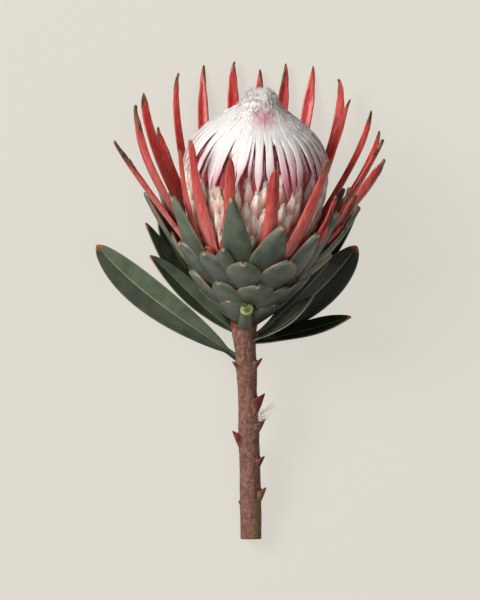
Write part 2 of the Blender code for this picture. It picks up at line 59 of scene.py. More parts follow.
# Stubs of leaf stalks: height and turn of the tip, its distance from the stem's centre line, girth
# under the scar, how far the stub runs down the stem, and how red it is
STALK_STUBS = (
    (-15, 62, 9.9, 4.4, 8, 0.6), (-34, 58, 10.2, 6.6, 12, 0.8), (-48.5, 66, 9.4, 6.6, 8, 0.2),
    (-54.8, -66, 9.2, 5.6, 11, 1), (-68, 62, 8.8, 4.8, 8, 0.5), (-85.4, 68, 9, 5, 10, 0.25),
    (-94, -88, 6.6, 2.6, 4, 0.3), (-26, 172, 8, 3.8, 7, 0.6), (-62, -165, 8.2, 4, 8, 0.6),
    (-17.4, -60, 7.9, 6.4, 5, 1),
)
# Small round scars on the bark: height, turn, size
BARK_SCARS = ((-46.5, -20, 1.1), (-67.5, -62, 1.9), (-72, 34, 1.4), (-99.8, -16, 1.6), (-33, -20, 0.9),
              (-86, 14, 1), (-12, -12, 0.9))
# A tuft of loose hair that hangs on one stub: its height and turn, its hairs and their radius
WOOL_LEVEL, WOOL_TURN, WOOL_HAIRS, WOOL_HAIR_RADIUS = -47.5, 72, 36, 0.08 * MM


def pick(*pieces):
    """Selects these objects and no other. With none, the next operator works on its new one alone."""
    if bpy.context.object and bpy.context.object.mode != "OBJECT":
        bpy.ops.object.mode_set(mode="OBJECT")
    bpy.ops.object.select_all(action="DESELECT")
    for piece in pieces:
        piece.select_set(True)
    if pieces:
        bpy.context.view_layer.objects.active = pieces[0]


def face_outwards():
    """Turns every face of the active piece outwards."""
    bpy.ops.object.mode_set(mode="EDIT")
    bpy.ops.mesh.select_all(action="SELECT")
    bpy.ops.mesh.normals_make_consistent(inside=False)
    bpy.ops.object.mode_set(mode="OBJECT")


def between(table, value):
    """The second number of a table of pairs at a value of the first, drawn straight between rows."""
    rows = sorted(table)
    for (a, x), (b, y) in zip(rows, rows[1:]):
        if value <= b:
            return x + (y - x) * max(value - a, 0) / (b - a)
    return rows[-1][1]


def risen(value, start, end):
    """How far a value has come from start to end, from 0 to 1."""
    return min(max((value - start) / (end - start), 0), 1)


def ringed_tube(name, sides, rings, place):
    """A closed tube: a cylinder cut into rings, whose points place(turn, share of the length, edge)
    moves. Its end caps close at the first and the last ring."""
    pick()
    bpy.ops.mesh.primitive_cylinder_add(vertices=sides, radius=1, depth=2, end_fill_type="TRIFAN")
    tube = bpy.context.object
    tube.name = name
    bpy.ops.object.mode_set(mode="EDIT")
    bpy.ops.mesh.select_all(action="DESELECT")
    bpy.ops.object.mode_set(mode="OBJECT")
    points = tube.data.vertices
    for edge in tube.data.edges:
        low, high = (points[i].co for i in edge.vertices)
        edge.select = abs(low.z - high.z) > 1
    bpy.ops.object.mode_set(mode="EDIT")
    bpy.ops.mesh.select_mode(type="EDGE")
    bpy.ops.mesh.subdivide(number_cuts=rings - 1)
    bpy.ops.object.mode_set(mode="OBJECT")
    for point in tube.data.vertices:
        turn = math.atan2(point.co.x, -point.co.y)
        point.co = place(turn, (point.co.z + 1) / 2, math.hypot(point.co.x, point.co.y))
    return tube


def joined(name, pieces):
    """One object of several, under a name."""
    pick(*pieces)
    bpy.ops.object.join()
    pieces[0].name = name
    pieces[0].data.name = name
    return pieces[0]


def mark(piece, name, share_of):
    """Stores a number at each point of a piece, for its material to read."""
    values = [share_of(point) for point in piece.data.vertices]
    stored = piece.data.attributes.get(name) or piece.data.attributes.new(name, "FLOAT", "POINT")
    stored.data.foreach_set("value", values)


def settle(piece, place, material):
    """Lays a finished piece down with the flower, flat where it bears on the table, and keeps where
    each point was on the upright flower, for the grain of its material."""
    mesh = piece.data
    upright = mesh.attributes.new("upright", "FLOAT_VECTOR", "POINT")
    upright.data.foreach_set("vector", [number for point in mesh.vertices for number in point.co])
    mesh.transform(place)
    for point in mesh.vertices:
        point.co.z = max(point.co.z, 0)
    for face in mesh.polygons:
        face.use_smooth = True
    mesh.materials.clear()
    mesh.materials.append(material)


def stem_axis(height):
    """The stem's centre at a height below the head: it bends most just under the head."""
    share = max(height / -STEM_LENGTH - STRAIGHT_SHARE, 0)
    return Vector((STEM_END_LEAN * (1 - math.exp(-2 * share)) / (1 - math.exp(-2)), 0, height))


def around(turn, radius, height):
    """A point of the head, by its turn from the front (right is positive), radius and height."""
    return Vector((radius * math.sin(turn), -radius * math.cos(turn), height))


def ripple(turn, around_it, level):
    """Smooth noise round a piece, from -1 to 1. around_it says how often it changes on the way round."""
    return noise.noise(Vector((math.sin(turn) * around_it, math.cos(turn) * around_it, level)))


def stem_point(turn, share, edge):
    """A point of the stem, whose lower end is cut at a slant, shorter in front."""
    height = -STEM_LENGTH + share * (STEM_LENGTH + STEM_TOP * MM)
    slant = STEM_RADIUS * math.tan(CUT_SLANT) * (1 + math.cos(turn) * edge)
    height += (slant - CUT_DROP) * max(1 - 14 * share, 0)
    radius = between(STEM_STATIONS, height / MM) * MM
    radius += (0.25 * ripple(turn, 2.2, height / MM * 0.09) + 0.2 * ripple(turn, 6, height / MM * 0.3)) * MM
    for level, scar_turn, size in BARK_SCARS:
        apart = math.remainder(turn - math.radians(scar_turn), math.tau) * radius / MM
        far = math.hypot(apart, height / MM - level) / size
        radius += 0.4 * (math.exp(-(far - 0.9) ** 2 * 6) - 0.6 * math.exp(-far ** 2 * 3)) * MM
    return stem_axis(height) + around(turn, radius * edge, 0)


def stalk_stub(height, turn, tip_radius, girth, drop):
    """One stub: a spur that runs down the stem, with a slanted, sunken scar on top."""
    turn = math.radians(turn)
    outward, across = around(turn, 1, 0), around(turn + math.pi / 2, 1, 0)
    rooted = 3.6

    def stub_point(point_turn, share, edge):
        grown = (0.5 + 0.5 * share) * 1.1 * girth / 2 * edge
        out, side = -math.cos(point_turn) * grown, math.sin(point_turn) * grown
        middle = rooted + (tip_radius - girth * 0.55 - rooted) * share ** 0.8
        sunken = 0.5 * (1 - edge) if share > 0.99 else 0
        level = height + (share - 1) * drop + share * (out - girth / 2) * 0.7 - sunken
        return stem_axis(level * MM) + (outward * (middle + out) + across * side) * MM

    return ringed_tube("stub", STUB_SIDES, STUB_RINGS, stub_point)


def stem_redness(point):
    """How dark red the bark is: on the stubs, by their own redness, and round the stem's top."""
    out = point.co - stem_axis(point.co.z)
    level, turn = point.co.z / MM, math.atan2(out.x, -out.y)
    red = 0.75 * min(max((level + 0.4) / 2 + 0.9 * noise.noise(Vector((turn * 2.5, level * 0.4, 0))), 0), 1)
    for height, stub_turn, _, girth, drop, redness in STALK_STUBS:
        apart = abs(math.remainder(turn - math.radians(stub_turn), math.tau)) * 6
        beyond = math.hypot(out.x, out.y) / MM - between(STEM_STATIONS, level) - 0.3
        if height - drop < level < height + 0.6 and apart < girth * 0.75 and beyond > 0:
            red = max(red, redness * min(beyond / 1.4, 1))
    return red


stem = ringed_tube("stem_tube", STEM_SIDES, STEM_RINGS, stem_point)
stem = joined("protea_stem", [stem] + [stalk_stub(*row[:-1]) for row in STALK_STUBS])
face_outwards()
grown = stem.modifiers.new("one_skin", "REMESH")
grown.mode = "VOXEL"
grown.voxel_size = SKIN_GRID
eased = stem.modifiers.new("eased", "SMOOTH")
eased.factor, eased.iterations = 0.5, 4
bpy.ops.object.modifier_apply(modifier="one_skin")
bpy.ops.object.modifier_apply(modifier="eased")
mark(stem, "red", stem_redness)


def hair_mesh(name, hairs):
    """A mesh of fine tapering hairs. Each is its points from root to tip and its radius at the root."""
    points, faces = [], []
    for line, radius in hairs:
        start, last = len(points), len(line) - 1
        for i, at in enumerate(line[:-1]):
            ahead = (line[i + 1] - line[max(i - 1, 0)]).normalized()
            first = ahead.orthogonal().normalized()
            second = ahead.cross(first)
            here = radius * (1 - 0.7 * i / last)
            for turn in (0, math.tau / 3, math.tau * 2 / 3):
                points.append(at + (first * math.cos(turn) + second * math.sin(turn)) * here)
        points.append(line[-1])
        tip = start + 3 * last
        faces.append((start + 2, start + 1, start))
        for low in range(start, tip, 3):
            for corner, beside in ((0, 1), (1, 2), (2, 0)):
                above = (low + 3,) if low + 3 == tip else (low + 3 + beside, low + 3 + corner)
                faces.append((low + corner, low + beside, *above))
    mesh = bpy.data.meshes.new(name)
    mesh.from_pydata(points, [], faces)
    made = bpy.data.objects.new(name, mesh)
    bpy.context.scene.collection.objects.link(made)
    return made


def stray(draw, reach):
    """A random offset of up to reach each way along every axis."""
    return Vector([draw.uniform(-reach, reach) for _ in range(3)])


draw = random.Random(3)
wool_hairs = []
for _ in range(WOOL_HAIRS):
    level, turn = WOOL_LEVEL + draw.uniform(-2.5, 2), math.radians(WOOL_TURN + draw.uniform(-30, 20))
    line = [stem_axis(level * MM) + around(turn, draw.uniform(5.4, 7.6) * MM, 0)]
    reach = draw.uniform(2, 12) * MM
    ahead = Vector((draw.uniform(0.7, 1.1), draw.uniform(-0.5, 0.2), draw.uniform(0.2, 0.9))).normalized()
    for step in range(5):
        line.append(line[-1] + (ahead + stray(draw, 0.55)) * reach / 5)
    wool_hairs.append((line, WOOL_HAIR_RADIUS))
wool = hair_mesh("wool", wool_hairs)
mark(wool, "wool", lambda point: 1)
stem = joined("protea_stem", [stem, wool])


def tint(srgb):
    """The linear colour of an sRGB hex value."""
    parts = [int(srgb[i:i + 2], 16) / 255 for i in (0, 2, 4)]
    return (*(c / 12.92 if c <= 0.04045 else ((c + 0.055) / 1.055) ** 2.4 for c in parts), 1)


def feed(node, inputs):
    """Gives a node's sockets, by name or in order, a value, a link or an sRGB hex colour."""
    for name, value in inputs.items() if isinstance(inputs, dict) else enumerate(inputs):
        if isinstance(value, bpy.types.NodeSocket):
            node.id_data.links.new(value, node.inputs[name])
        else:
            node.inputs[name].default_value = tint(value) if isinstance(value, str) else value


def add(kind, inputs=(), stops=(), out=None, **settings):
    """Adds a node to the material in hand, with its settings, its inputs and a ramp's colours, of
    which the two end ones come first. Gives the named output, or else the first in use."""
    made = tree.nodes.new("ShaderNode" + kind)
    for name, value in settings.items():
        setattr(made, name, value)
    feed(made, inputs)
    for i, (position, colour) in enumerate(stops):
        stop = made.color_ramp.elements[i] if i < 2 else made.color_ramp.elements.new(position)
        stop.position = position
        stop.color = tint(colour)
    return made.outputs[out] if out else next(socket for socket in made.outputs if socket.enabled)


def living(name, finish):
    """A plant tissue's material with its finish on the Principled shader, its tree and that shader."""
    made = bpy.data.materials.new(name)
    made.use_nodes = True
    shader = made.node_tree.nodes["Principled BSDF"]
    feed(shader, finish)
    return made, made.node_tree, shader


# Young protea bark: thin cork over living green, matt and mauve brown to the eye, with pale specks
# where it breathes and a yellow green streak where the cork has rubbed off.
bark, tree, shader = living("young_protea_bark", {"Roughness": 0.78})
place = add("Attribute", out="Vector", attribute_name="upright")
x, y, z = add("SeparateXYZ", (place,)).node.outputs
drawn_out = add("Mapping", {"Vector": place, "Scale": (1, 1, 0.75)})
cloudy = add("TexNoise", {"Vector": drawn_out, "Scale": 1 / (1.8 * MM), "Detail": 8, "Roughness": 0.6})
colour = add("ValToRGB", (cloudy,), ((0.32, "5E3C30"), (0.7, "A07664"), (0.5, "825849")))
speck = add("TexVoronoi", {"Vector": place, "Scale": 1 / (1.3 * MM)})
speck = add("MapRange", (speck, 0.24, 0.1))
some = add("TexNoise", {"Vector": place, "Scale": 1 / (3.3 * MM), "Detail": 2})
speck = add("Math", (speck, add("MapRange", (some, 0.46, 0.62))), operation="MULTIPLY")
red = add("Attribute", out="Fac", attribute_name="red")
blotch = add("TexNoise", {"Vector": place, "Scale": 1 / (1.6 * MM), "Detail": 3})
reddish = add("ValToRGB", (blotch,), ((0.35, "4E120E"), (0.7, "98392D")))
streak = add("Math", (z, -0.15, x), operation="MULTIPLY_ADD")
streak = add("Math", (streak, 21.6 * MM), operation="SUBTRACT")
streak = add("Math", (streak,), operation="ABSOLUTE")
streak = add("MapRange", (streak, 2.4 * MM, 0.2 * MM, 0, 0.8))
lower, front = add("MapRange", (z, -87 * MM, -89 * MM)), add("MapRange", (y, 1 * MM, -1 * MM))
for limit in (lower, front, blotch):
    streak = add("Math", (streak, limit), operation="MULTIPLY")
end = add("MapRange", (z, -115.9 * MM, -115.99 * MM))
woolly = add("Attribute", out="Fac", attribute_name="wool")
for share, laid_over in ((speck, "BFA592"), (red, reddish), (streak, "84802A"), (end, "B99E78"),
                         (woolly, "C9C4BC")):
    colour = add("Mix", {0: share, 6: colour, 7: laid_over}, data_type="RGBA")
relief = add("TexNoise", {"Vector": drawn_out, "Scale": 1 / (0.9 * MM), "Detail": 4})
relief = add("Math", (relief, speck), operation="ADD")
bump = add("Bump", {"Height": relief, "Distance": 0.3 * MM, "Strength": 0.8})
feed(shader, {"Base Color": colour, "Normal": bump})
settle(stem, LAID_DOWN, bark)
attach(stem, "root")
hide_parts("stem")

# The leaves: stiff and leathery, each on a short flat stalk, widest past the middle, with a pale
# midrib and margin and a callous tip that has dried to orange brown. They grow from the stem's top.
LEAF_THICK, LEAF_THIN = 1.5 * MM, 0.62 * MM
LEAF_STALK_SHARE, LEAF_STALK_WIDTH = 0.12, 0.17
LEAF_COLUMNS, LEAF_ROWS = 15, 44
# How blunt a leaf is, as the power that rounds its outline: the broad ones and the slim ones
BROAD_LEAF, BROAD_BLUNT, SLIM_BLUNT = 15, 0.54, 0.74
CURVE_STEP = 0.01
# Centre line as foot, two handles and tip, in mm right, up and front of the head's base; width;
# the direction that the upper face looks; how far the margins rise; how much painted sheen the face gets,
# low on the leaves kept dark as painted shade
LEAVES = {
    "leaf_left_broad": (((-1, -19, 0), (-24, 2.4, 7), (-52, 16.4, 3), (-73.5, 41, -6)),
                        17, (-0.1, 0.35, 1), 0.2, 0.9),
    "leaf_left_second": (((-1, -6, -1), (-16, 2, -3), (-31, 20, -5), (-47, 36.5, -3)),
                         11.5, (0.45, 0.55, 0.75), 0.3, 0.8),
    "leaf_left_third": (((-1, -5, -3), (-21, 5, -15), (-37, 22, -18), (-49, 51, -11)),
                        11, (0.75, 0.1, 0.5), 0.3, 0.4),
    "leaf_left_rear": (((0, -7, -3), (-14, 4, -24), (-35, 22, -29), (-43, 46, -31)),
                       13.5, (0.7, -0.2, 0.75), 0.3, 0.2),
    "leaf_right_broad": (((1, -11, -1), (23, 1, -9), (42, 14, -17), (56.5, 36.5, -17)),
                         17.5, (0.05, 0.3, 1), 0.15, 0),
    "leaf_right_low": (((1, -9.5, 1), (16, -6.2, 0), (36, -2, 2), (53.5, 6.2, 3)),
                       12.5, (-0.1, 1, 0.35), 0.25, 0),
    "leaf_right_curled": (((5, -6, 3), (15, 2, 15), (27, 10, 18), (34.5, 21, 13)),
                          11, (-0.6, 0.7, 0.3), 0.5, 0.5),
    "leaf_right_upper": (((2, -7, -1), (18, 2, -3), (28, 14, -4), (42, 32, -5)),
                         11, (-0.75, 0.6, 0.1), 0.3, 0.1),
    "leaf_right_rear": (((1, -5, -3), (14, 2, -22), (38, 20, -31), (56, 50, -26)),
                        12.5, (-0.6, 0.0, 0.75), 0.3, 0.1),
}


def bezier(points, s):
    """The point at share s of a quadratic or cubic curve."""
    while len(points) > 1:
        points = [a.lerp(b, s) for a, b in zip(points, points[1:])]
    return points[0]


def heading(curve, s):
    """The direction in which a curve runs at share s."""
    return (curve(min(s + CURVE_STEP, 1)) - curve(max(s - CURVE_STEP, 0))).normalized()


def blade(name, columns, rows, curve, side_at, half_width, bend, fullness=1.5):
    """A flat sheet laid along a curve. side_at(s) points across it, half_width(s) is its reach to
    each side, bend(across, s) is how far a point lies towards its inner face, and fullness is how
    far out it stays thick."""
    pick()
    bpy.ops.mesh.primitive_grid_add(x_subdivisions=columns, y_subdivisions=rows, size=2)
    sheet = bpy.context.object
    sheet.name = name
    middle = sheet.vertex_groups.new(name="middle")
    for point in sheet.data.vertices:
        across, s = point.co.x, (point.co.y + 1) / 2
        direction = heading(curve, s)
        side = side_at(s)
        side = (side - direction * side.dot(direction)).normalized()
        point.co = curve(s) + side * across * half_width(s) - side.cross(direction) * bend(across, s)
        middle.add([point.index], 1 - abs(across) ** fullness, "REPLACE")
    return sheet


def thickened(piece, thick, thin):
    """Gives the sheets of a piece their body, thick along the middle, and rounds them."""
    pick(piece)
    wall = piece.modifiers.new("body", "SOLIDIFY")
    wall.thickness = thick
    wall.vertex_group = "middle"
    wall.thickness_vertex_group = thin / thick
    wall.offset = 0
    rounding = piece.modifiers.new("rounding", "SUBSURF")
    rounding.levels = rounding.render_levels = 1
    bpy.ops.object.modifier_apply(modifier="body")
    bpy.ops.object.modifier_apply(modifier="rounding")
    face_outwards()
    return piece


def leaf_shape(s, blunt):
    """Share of the full width of a leaf: a narrow stalk, then a long ellipse with a blunt tip."""
    if s < LEAF_STALK_SHARE:
        return LEAF_STALK_WIDTH + 0.05 * (1 - s / LEAF_STALK_SHARE)
    t = risen(s, LEAF_STALK_SHARE, 1)
    rounded = max(math.sin(math.pi * t ** (1.75 - 0.75 * blunt)), 0) ** blunt
    return LEAF_STALK_WIDTH * (1 - t ** 8) + (1 - LEAF_STALK_WIDTH) * rounded + 0.03 * t


def blade_map():
    """How far across and along its blade a point lies, from 0 to 1, and how far from its midrib."""
    across, along, _ = add("SeparateXYZ", (add("TexCoord", out="UV"),)).node.outputs
    off = add("Math", (across, 0.5), operation="SUBTRACT")
    return across, along, add("Math", (off,), operation="ABSOLUTE")


# Leathery protea leaf: a thick waxy skin that shines softly, dark green, under which the netted veins
# show faintly. A grey green painted sheen is laid over it, its share set per leaf, and low shares leave it
# near black as painted shade.
finish = {"Roughness": 0.45, "Coat Weight": 0.04, "Specular IOR Level": 0.22}
leaf_skin, tree, shader = living("leathery_leaf", finish)
place = add("Attribute", out="Vector", attribute_name="upright")
pale = add("Attribute", out="Fac", attribute_name="pale")
across, along, from_middle = blade_map()
# Painted shade: one half of each blade gets only 0.4 of the leaf's painted sheen, so that half reads darker.
pale = add("Math", (pale, add("MapRange", (across, 0.48, 0.52, 0.4))), operation="MULTIPLY")
cloudy = add("TexNoise", {"Vector": place, "Scale": 1 / (7 * MM), "Detail": 5})
colour = add("ValToRGB", (cloudy,), ((0.3, "10140A"), (0.7, "222A14")))
# Painted sheen: a grey green colour that stands for the soft highlight on a lit leaf.
painted_sheen = add("ValToRGB", (cloudy,), ((0.3, "4A5642"), (0.7, "646F5A")))
slanted = add("Math", (from_middle, -0.55, along), operation="MULTIPLY_ADD")
netted = {"Vector": add("CombineXYZ", (slanted, from_middle)), "Scale": 5.5, "Distortion": 2.4, "Detail": 3,
          "Detail Scale": 2.2}
vein = add("MapRange", (add("TexWave", netted, out="Fac", bands_direction="X"), 0.86, 1, 0, 0.05))
rib = add("MapRange", (from_middle, 0.026, 0.01, 0, 0.55))
rim = add("MapRange", (from_middle, 0.47, 0.49, 0, 0.45))
ragged = add("Math", (cloudy, 0.05, along), operation="MULTIPLY_ADD")
dry = add("MapRange", (ragged, 0.985, 1.02))
for share, laid_over in ((pale, painted_sheen), (vein, "8B9A72"), (rib, "A3A576"), (rim, "A8A67E"),
                         (dry, "A4582A")):
    colour = add("Mix", {0: share, 6: colour, 7: laid_over}, data_type="RGBA")
pitted = add("TexNoise", {"Vector": place, "Scale": 1 / (0.8 * MM), "Detail": 3})
pitted = add("Math", (vein, 6, pitted), operation="MULTIPLY_ADD")
bump = add("Bump", {"Height": pitted, "Distance": 0.12 * MM, "Strength": 0.5})
feed(shader, {"Base Color": colour, "Normal": bump})

draw = random.Random(5)
for node_name, (points, width, upper_face, fold, pale) in LEAVES.items():
    line = [Vector((right, -front, up)) * MM for right, up, front in points]
    face_way = Vector((upper_face[0], -upper_face[2], upper_face[1])).normalized()
    phase = draw.uniform(0, 6)

    def leaf_line(s):
        return bezier(line, s)

    def leaf_side(s):
        return -face_way.cross(heading(leaf_line, s))

    def leaf_reach(s):
        return width / 2 * MM * leaf_shape(s, BROAD_BLUNT if width > BROAD_LEAF else SLIM_BLUNT)

    def leaf_bend(across, s):
        wave = 0.35 * MM * math.sin(9 * s + phase + 2 * across) * abs(across) ** 2 * min(4 * s, 1)
        groove = 0.35 * MM * math.exp(-(across / 0.07) ** 2)
        return -abs(across) ** 1.6 * fold * leaf_reach(s) * min(0.3 + 2 * s, 1) + wave + groove

    leaf = blade("protea_" + node_name, LEAF_COLUMNS, LEAF_ROWS, leaf_line, leaf_side, leaf_reach, leaf_bend)
    leaf = thickened(leaf, LEAF_THICK, LEAF_THIN)
    # The leaf's share of painted sheen. The right-hand leaves get little or none and stay dark as painted
    # shade.
    mark(leaf, "pale", lambda point: pale)
    settle(leaf, LAID_DOWN, leaf_skin)
    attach(leaf, "root")
    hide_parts(node_name)

# The cut leaf stalk: a green stalk that was cut off in front just under the head. Its bark dried
# to a yellow green lip round the hollow where the pith shrank.
STALK_FOOT, STALK_TIP = Vector((0.9, -13.2, 6.2)) * MM, Vector((1.4, -24.0, 17.8)) * MM
stalk_axis = (STALK_TIP - STALK_FOOT).normalized()
stalk_side = Vector((1, 0, 0))
stalk_back = stalk_axis.cross(stalk_side)
STALK_SIDES, STALK_RINGS = 28, 14
LIP_WIDTH, HOLLOW_DEPTH, HOLLOW_RADIUS = 0.55 * MM, 2.2 * MM, 2.75 * MM


def stalk_point(turn, share, edge):
    """A point of the stalk, which narrows upwards and flares a little at its sunken tip."""
    hollow = max(1 - edge, 0)
    if share > 0.999:
        share = 1 - 0.16 * min(hollow * 2.5, 1)
    radius = (4.2 - 1.3 * share + 0.5 * share ** 6 + 0.25 * math.sin(2 * turn + 1)) * MM * edge
    return (STALK_FOOT.lerp(STALK_TIP, share) + stalk_side * math.sin(turn) * radius
            + stalk_back * math.cos(turn) * radius * 0.8)


stalk = ringed_tube("protea_cut_leaf_stalk", STALK_SIDES, STALK_RINGS, stalk_point)
pick(stalk)
bpy.ops.object.mode_set(mode="EDIT")
bpy.ops.mesh.select_all(action="DESELECT")
bpy.ops.object.mode_set(mode="OBJECT")
for face in stalk.data.polygons:
    face.select = face.normal.dot(stalk_axis) > 0.9
bpy.ops.object.mode_set(mode="EDIT")
bpy.ops.mesh.select_mode(type="FACE")
bpy.ops.mesh.inset(thickness=LIP_WIDTH)
bpy.ops.transform.translate(value=-stalk_axis * HOLLOW_DEPTH)
bpy.ops.object.mode_set(mode="OBJECT")


def hollow_share(point):
    """1 inside the hollow of the cut."""
    from_tip = (STALK_TIP - point.co).dot(stalk_axis)
    off_axis = (point.co - STALK_TIP + stalk_axis * from_tip).length
    return 1 if 0.3 * MM < from_tip < 5 * MM and off_axis < HOLLOW_RADIUS else 0


mark(stalk, "hollow", hollow_share)
mark(stalk, "lip", lambda point: (point.co - STALK_FOOT).dot(stalk_axis) / (STALK_TIP - STALK_FOOT).length)

# Green stalk tissue: wet and whitish green in the cut, darker outside.
stalk_flesh, tree, shader = living("cut_green_stalk", {"Roughness": 0.5})
place = add("Attribute", out="Vector", attribute_name="upright")
lip = add("Attribute", out="Fac", attribute_name="lip")
hollow = add("Attribute", out="Fac", attribute_name="hollow")
cloudy = add("TexNoise", {"Vector": place, "Scale": 1 / (2.2 * MM), "Detail": 4})
height = add("Math", (cloudy, 0.14, lip), operation="MULTIPLY_ADD")
flesh = add("ValToRGB", (height,), ((0.2, "454E38"), (1.04, "989E68"), (0.6, "5E684A"), (0.96, "62683C")))
flesh = add("Mix", {0: hollow, 6: flesh, 7: "4E5426"}, data_type="RGBA")
feed(shader, {"Base Color": flesh})
settle(stalk, LAID_DOWN, stalk_flesh)
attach(stalk, "root")
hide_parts("cut_leaf_stalk")

# The green cup: a solid receptacle clad in fleshy green bracts, grown on it in rows like roof tiles,
# each with its foot under the row below. They are thick and rounded, with a thin red edge and a
# small hard orange tip.
HEAD_LEAN = math.radians(4)
HEAD = LAID_DOWN @ Matrix.Rotation(HEAD_LEAN, 4, "Y")
RECEPTACLE_RADII = ((3.5, 6.6), (8.4, 11), (14.4, 16.2), (20.4, 20.4), (26.2, 24.5), (32, 29.4), (36, 31.8))
# For each row the radius and height of its feet, and for each bract in it the turn, radius and height
# of its tip, its width, and the turn of its foot: first the tall bracts, then the short ones below
TALL_SCALES = {
    (26.8, 30): (
        (-19, 42.4, 54.5, 15, -22), (18.5, 46, 69, 19.5, 8), (46, 45, 62, 17.5, 40),
        (74, 49, 60, 16, 70), (102, 50, 60, 15, 102), (131, 47, 60, 16, 131),
        (158, 44.5, 59, 16, 158), (-175, 42.3, 57, 16, -175), (-148, 45, 59, 16, -148),
        (-120, 48, 60, 15, -120), (-93, 54, 66.5, 15, -90)),
    (30.6, 32.4): (
        (-15.6, 45.7, 82.4, 15.5, -8), (-57, 48.5, 75, 16, -42), (62, 47, 71, 15, 60),
        (84, 53, 69, 13, 84), (118, 51.5, 68, 12, 118), (145, 48.5, 70, 13, 145),
        (172, 45, 69, 13, 172), (-161, 46, 70, 13, -161), (-134, 48.5, 69, 13, -134),
        (-106, 50.5, 70, 12, -106)),
}
SHORT_SCALES = {
    (9.2, 6.4): (
        (-22, 24.6, 21.9, 15.5, -12), (35, 23.4, 19.5, 13, 34), (86, 24, 21.5, 14.5, 82),
        (137, 23.5, 21, 15, 137), (-172, 23.5, 21, 15, -172), (-121, 23.8, 21, 15, -121),
        (-72, 24, 21.5, 15, -64)),
    (14.5, 12.4): (
        (-28, 31.9, 32.3, 15, -19), (42, 30.2, 29.6, 16.5, 29), (66, 32.4, 33.2, 16, 60),
        (102, 31.5, 32.5, 17.5, 102), (140, 31.5, 32.5, 18, 140), (178, 31.5, 32.5, 18, 178),
        (-144, 31.5, 32.5, 18, -144), (-104, 31.5, 32.5, 18, -104), (-66, 31.5, 32, 16, -56)),
    (17.8, 17.6): ((7.5, 32.5, 33.2, 17.5, 9),),
    (22, 25): (
        (-5, 41.4, 47.9, 17, -5), (28, 41.4, 48.5, 18, 20), (77, 41, 44.5, 17, 68),
        (-34.5, 41.6, 49.5, 15, -24), (-58, 41.8, 50, 15, -43), (108, 40, 47, 17.5, 108),
        (141, 39.6, 47, 18, 141), (174, 39.6, 47, 18, 174), (-153, 39.6, 47, 18, -153),
        (-121, 40, 47, 17.5, -121), (-88, 40.6, 47.5, 16, -80)),
}
SCALE_COLUMNS, SCALE_ROWS, CUP_SIDES, CUP_RINGS = 10, 16, 48, 20
# Thickness in the middle and at the margins
SHORT_SCALE_BODY, TALL_SCALE_BODY = (2.3 * MM, 1.5 * MM), (2.0 * MM, 1.2 * MM)
SHORT_SCALE_SPREAD = 1.1
# How a bract bows: its path's handle, as shares of the way out and up
SCALE_BOW = (0.62, 0.45)


def sideways(turn):
    """The level direction across the head at a turn."""
    return Vector((math.cos(turn), math.sin(turn), 0))


def head_line(foot, tip, bow):
    """The path of a bract of the head and the direction across it. Foot and tip are a turn, radius
    and height, in degrees and mm, and bow places the handle, as shares of the way out and up."""
    (foot_turn, foot_r, foot_h), (tip_turn, tip_r, tip_h) = foot, tip
    handle = (foot_r + (tip_r - foot_r) * bow[0], foot_h + (tip_h - foot_h) * bow[1])
    flat = [Vector((foot_r, foot_h)) * MM, Vector(handle) * MM, Vector((tip_r, tip_h)) * MM]

    def curve(s):
        at = bezier(flat, s)
        return around(math.radians(foot_turn + (tip_turn - foot_turn) * s), at.x, at.y)

    def side_at(s):
        return sideways(math.radians(foot_turn + (tip_turn - foot_turn) * s))

    return curve, side_at


def turned_body(name, radii, sides, rings, swell):
    """A closed body of revolution, by its radius at each height in mm; swell adds to the radius."""
    lowest, highest = radii[0][0], radii[-1][0]

    def body_point(turn, share, edge):
        height = lowest + share * (highest - lowest)
        return around(turn, (between(radii, height) + swell(turn, height)) * edge * MM, height * MM)

    return ringed_tube(name, sides, rings, body_point)


def short_scale_shape(s):
    """Share of the full width of a short green bract: broad, with a blunt, rounded end."""
    broad = 0.62 + 0.38 * math.sin(math.pi / 2 * risen(s, 0, 0.55))
    return broad * max(1 - risen(s, 0.5, 1) ** 2.2, 0.004) ** 0.62


def tall_scale_shape(s):
    """Share of the full width of a tall green bract: broad shoulders and a clear point."""
    return (0.75 + 0.25 * math.sin(math.pi * risen(s, 0, 0.9))) * max(1 - s ** 4, 0.01) ** 0.85


def green_scale(foot, tip, width, shape, draw):
    """One green bract, its margins curled inwards and its outline a little uneven."""
    curve, side_at = head_line(foot, tip, SCALE_BOW)
    phase, lift, uneven = draw.uniform(0, 6), draw.uniform(-0.1, 0.5), draw.uniform(0.02, 0.05)

    def reach(s):
        return width / 2 * shape(s) * (1 + uneven * math.sin(9 * s + phase) + 0.02 * math.sin(25 * s)) * MM

    def bend(across, s):
        wave = 0.3 * math.sin(6 * s + phase + 3 * across) * across ** 2
        return (abs(across) ** 2.4 * 0.24 * width / 2 * min(0.3 + 2 * s, 1) + wave - lift * s ** 3) * MM

    return blade("scale", SCALE_COLUMNS, SCALE_ROWS, curve, side_at, reach, bend, fullness=4)


draw = random.Random(21)
short_scales = [green_scale((foot_turn, *foot), (tip_turn, tip_r, tip_h), width * SHORT_SCALE_SPREAD,
                            short_scale_shape, draw)
                for foot, row in SHORT_SCALES.items() for tip_turn, tip_r, tip_h, width, foot_turn in row]
tall_scales = [green_scale((foot_turn, *foot), (tip_turn, tip_r, tip_h), width, tall_scale_shape, draw)
               for foot, row in TALL_SCALES.items() for tip_turn, tip_r, tip_h, width, foot_turn in row]
short_scales = thickened(joined("short_scales", short_scales), *SHORT_SCALE_BODY)
tall_scales = thickened(joined("tall_scales", tall_scales), *TALL_SCALE_BODY)
cup_body = turned_body("cup_body", RECEPTACLE_RADII, CUP_SIDES, CUP_RINGS, lambda turn, height: 0)
mark(cup_body, "body", lambda point: 1)
cup = joined("protea_green_cup", [cup_body, short_scales, tall_scales])

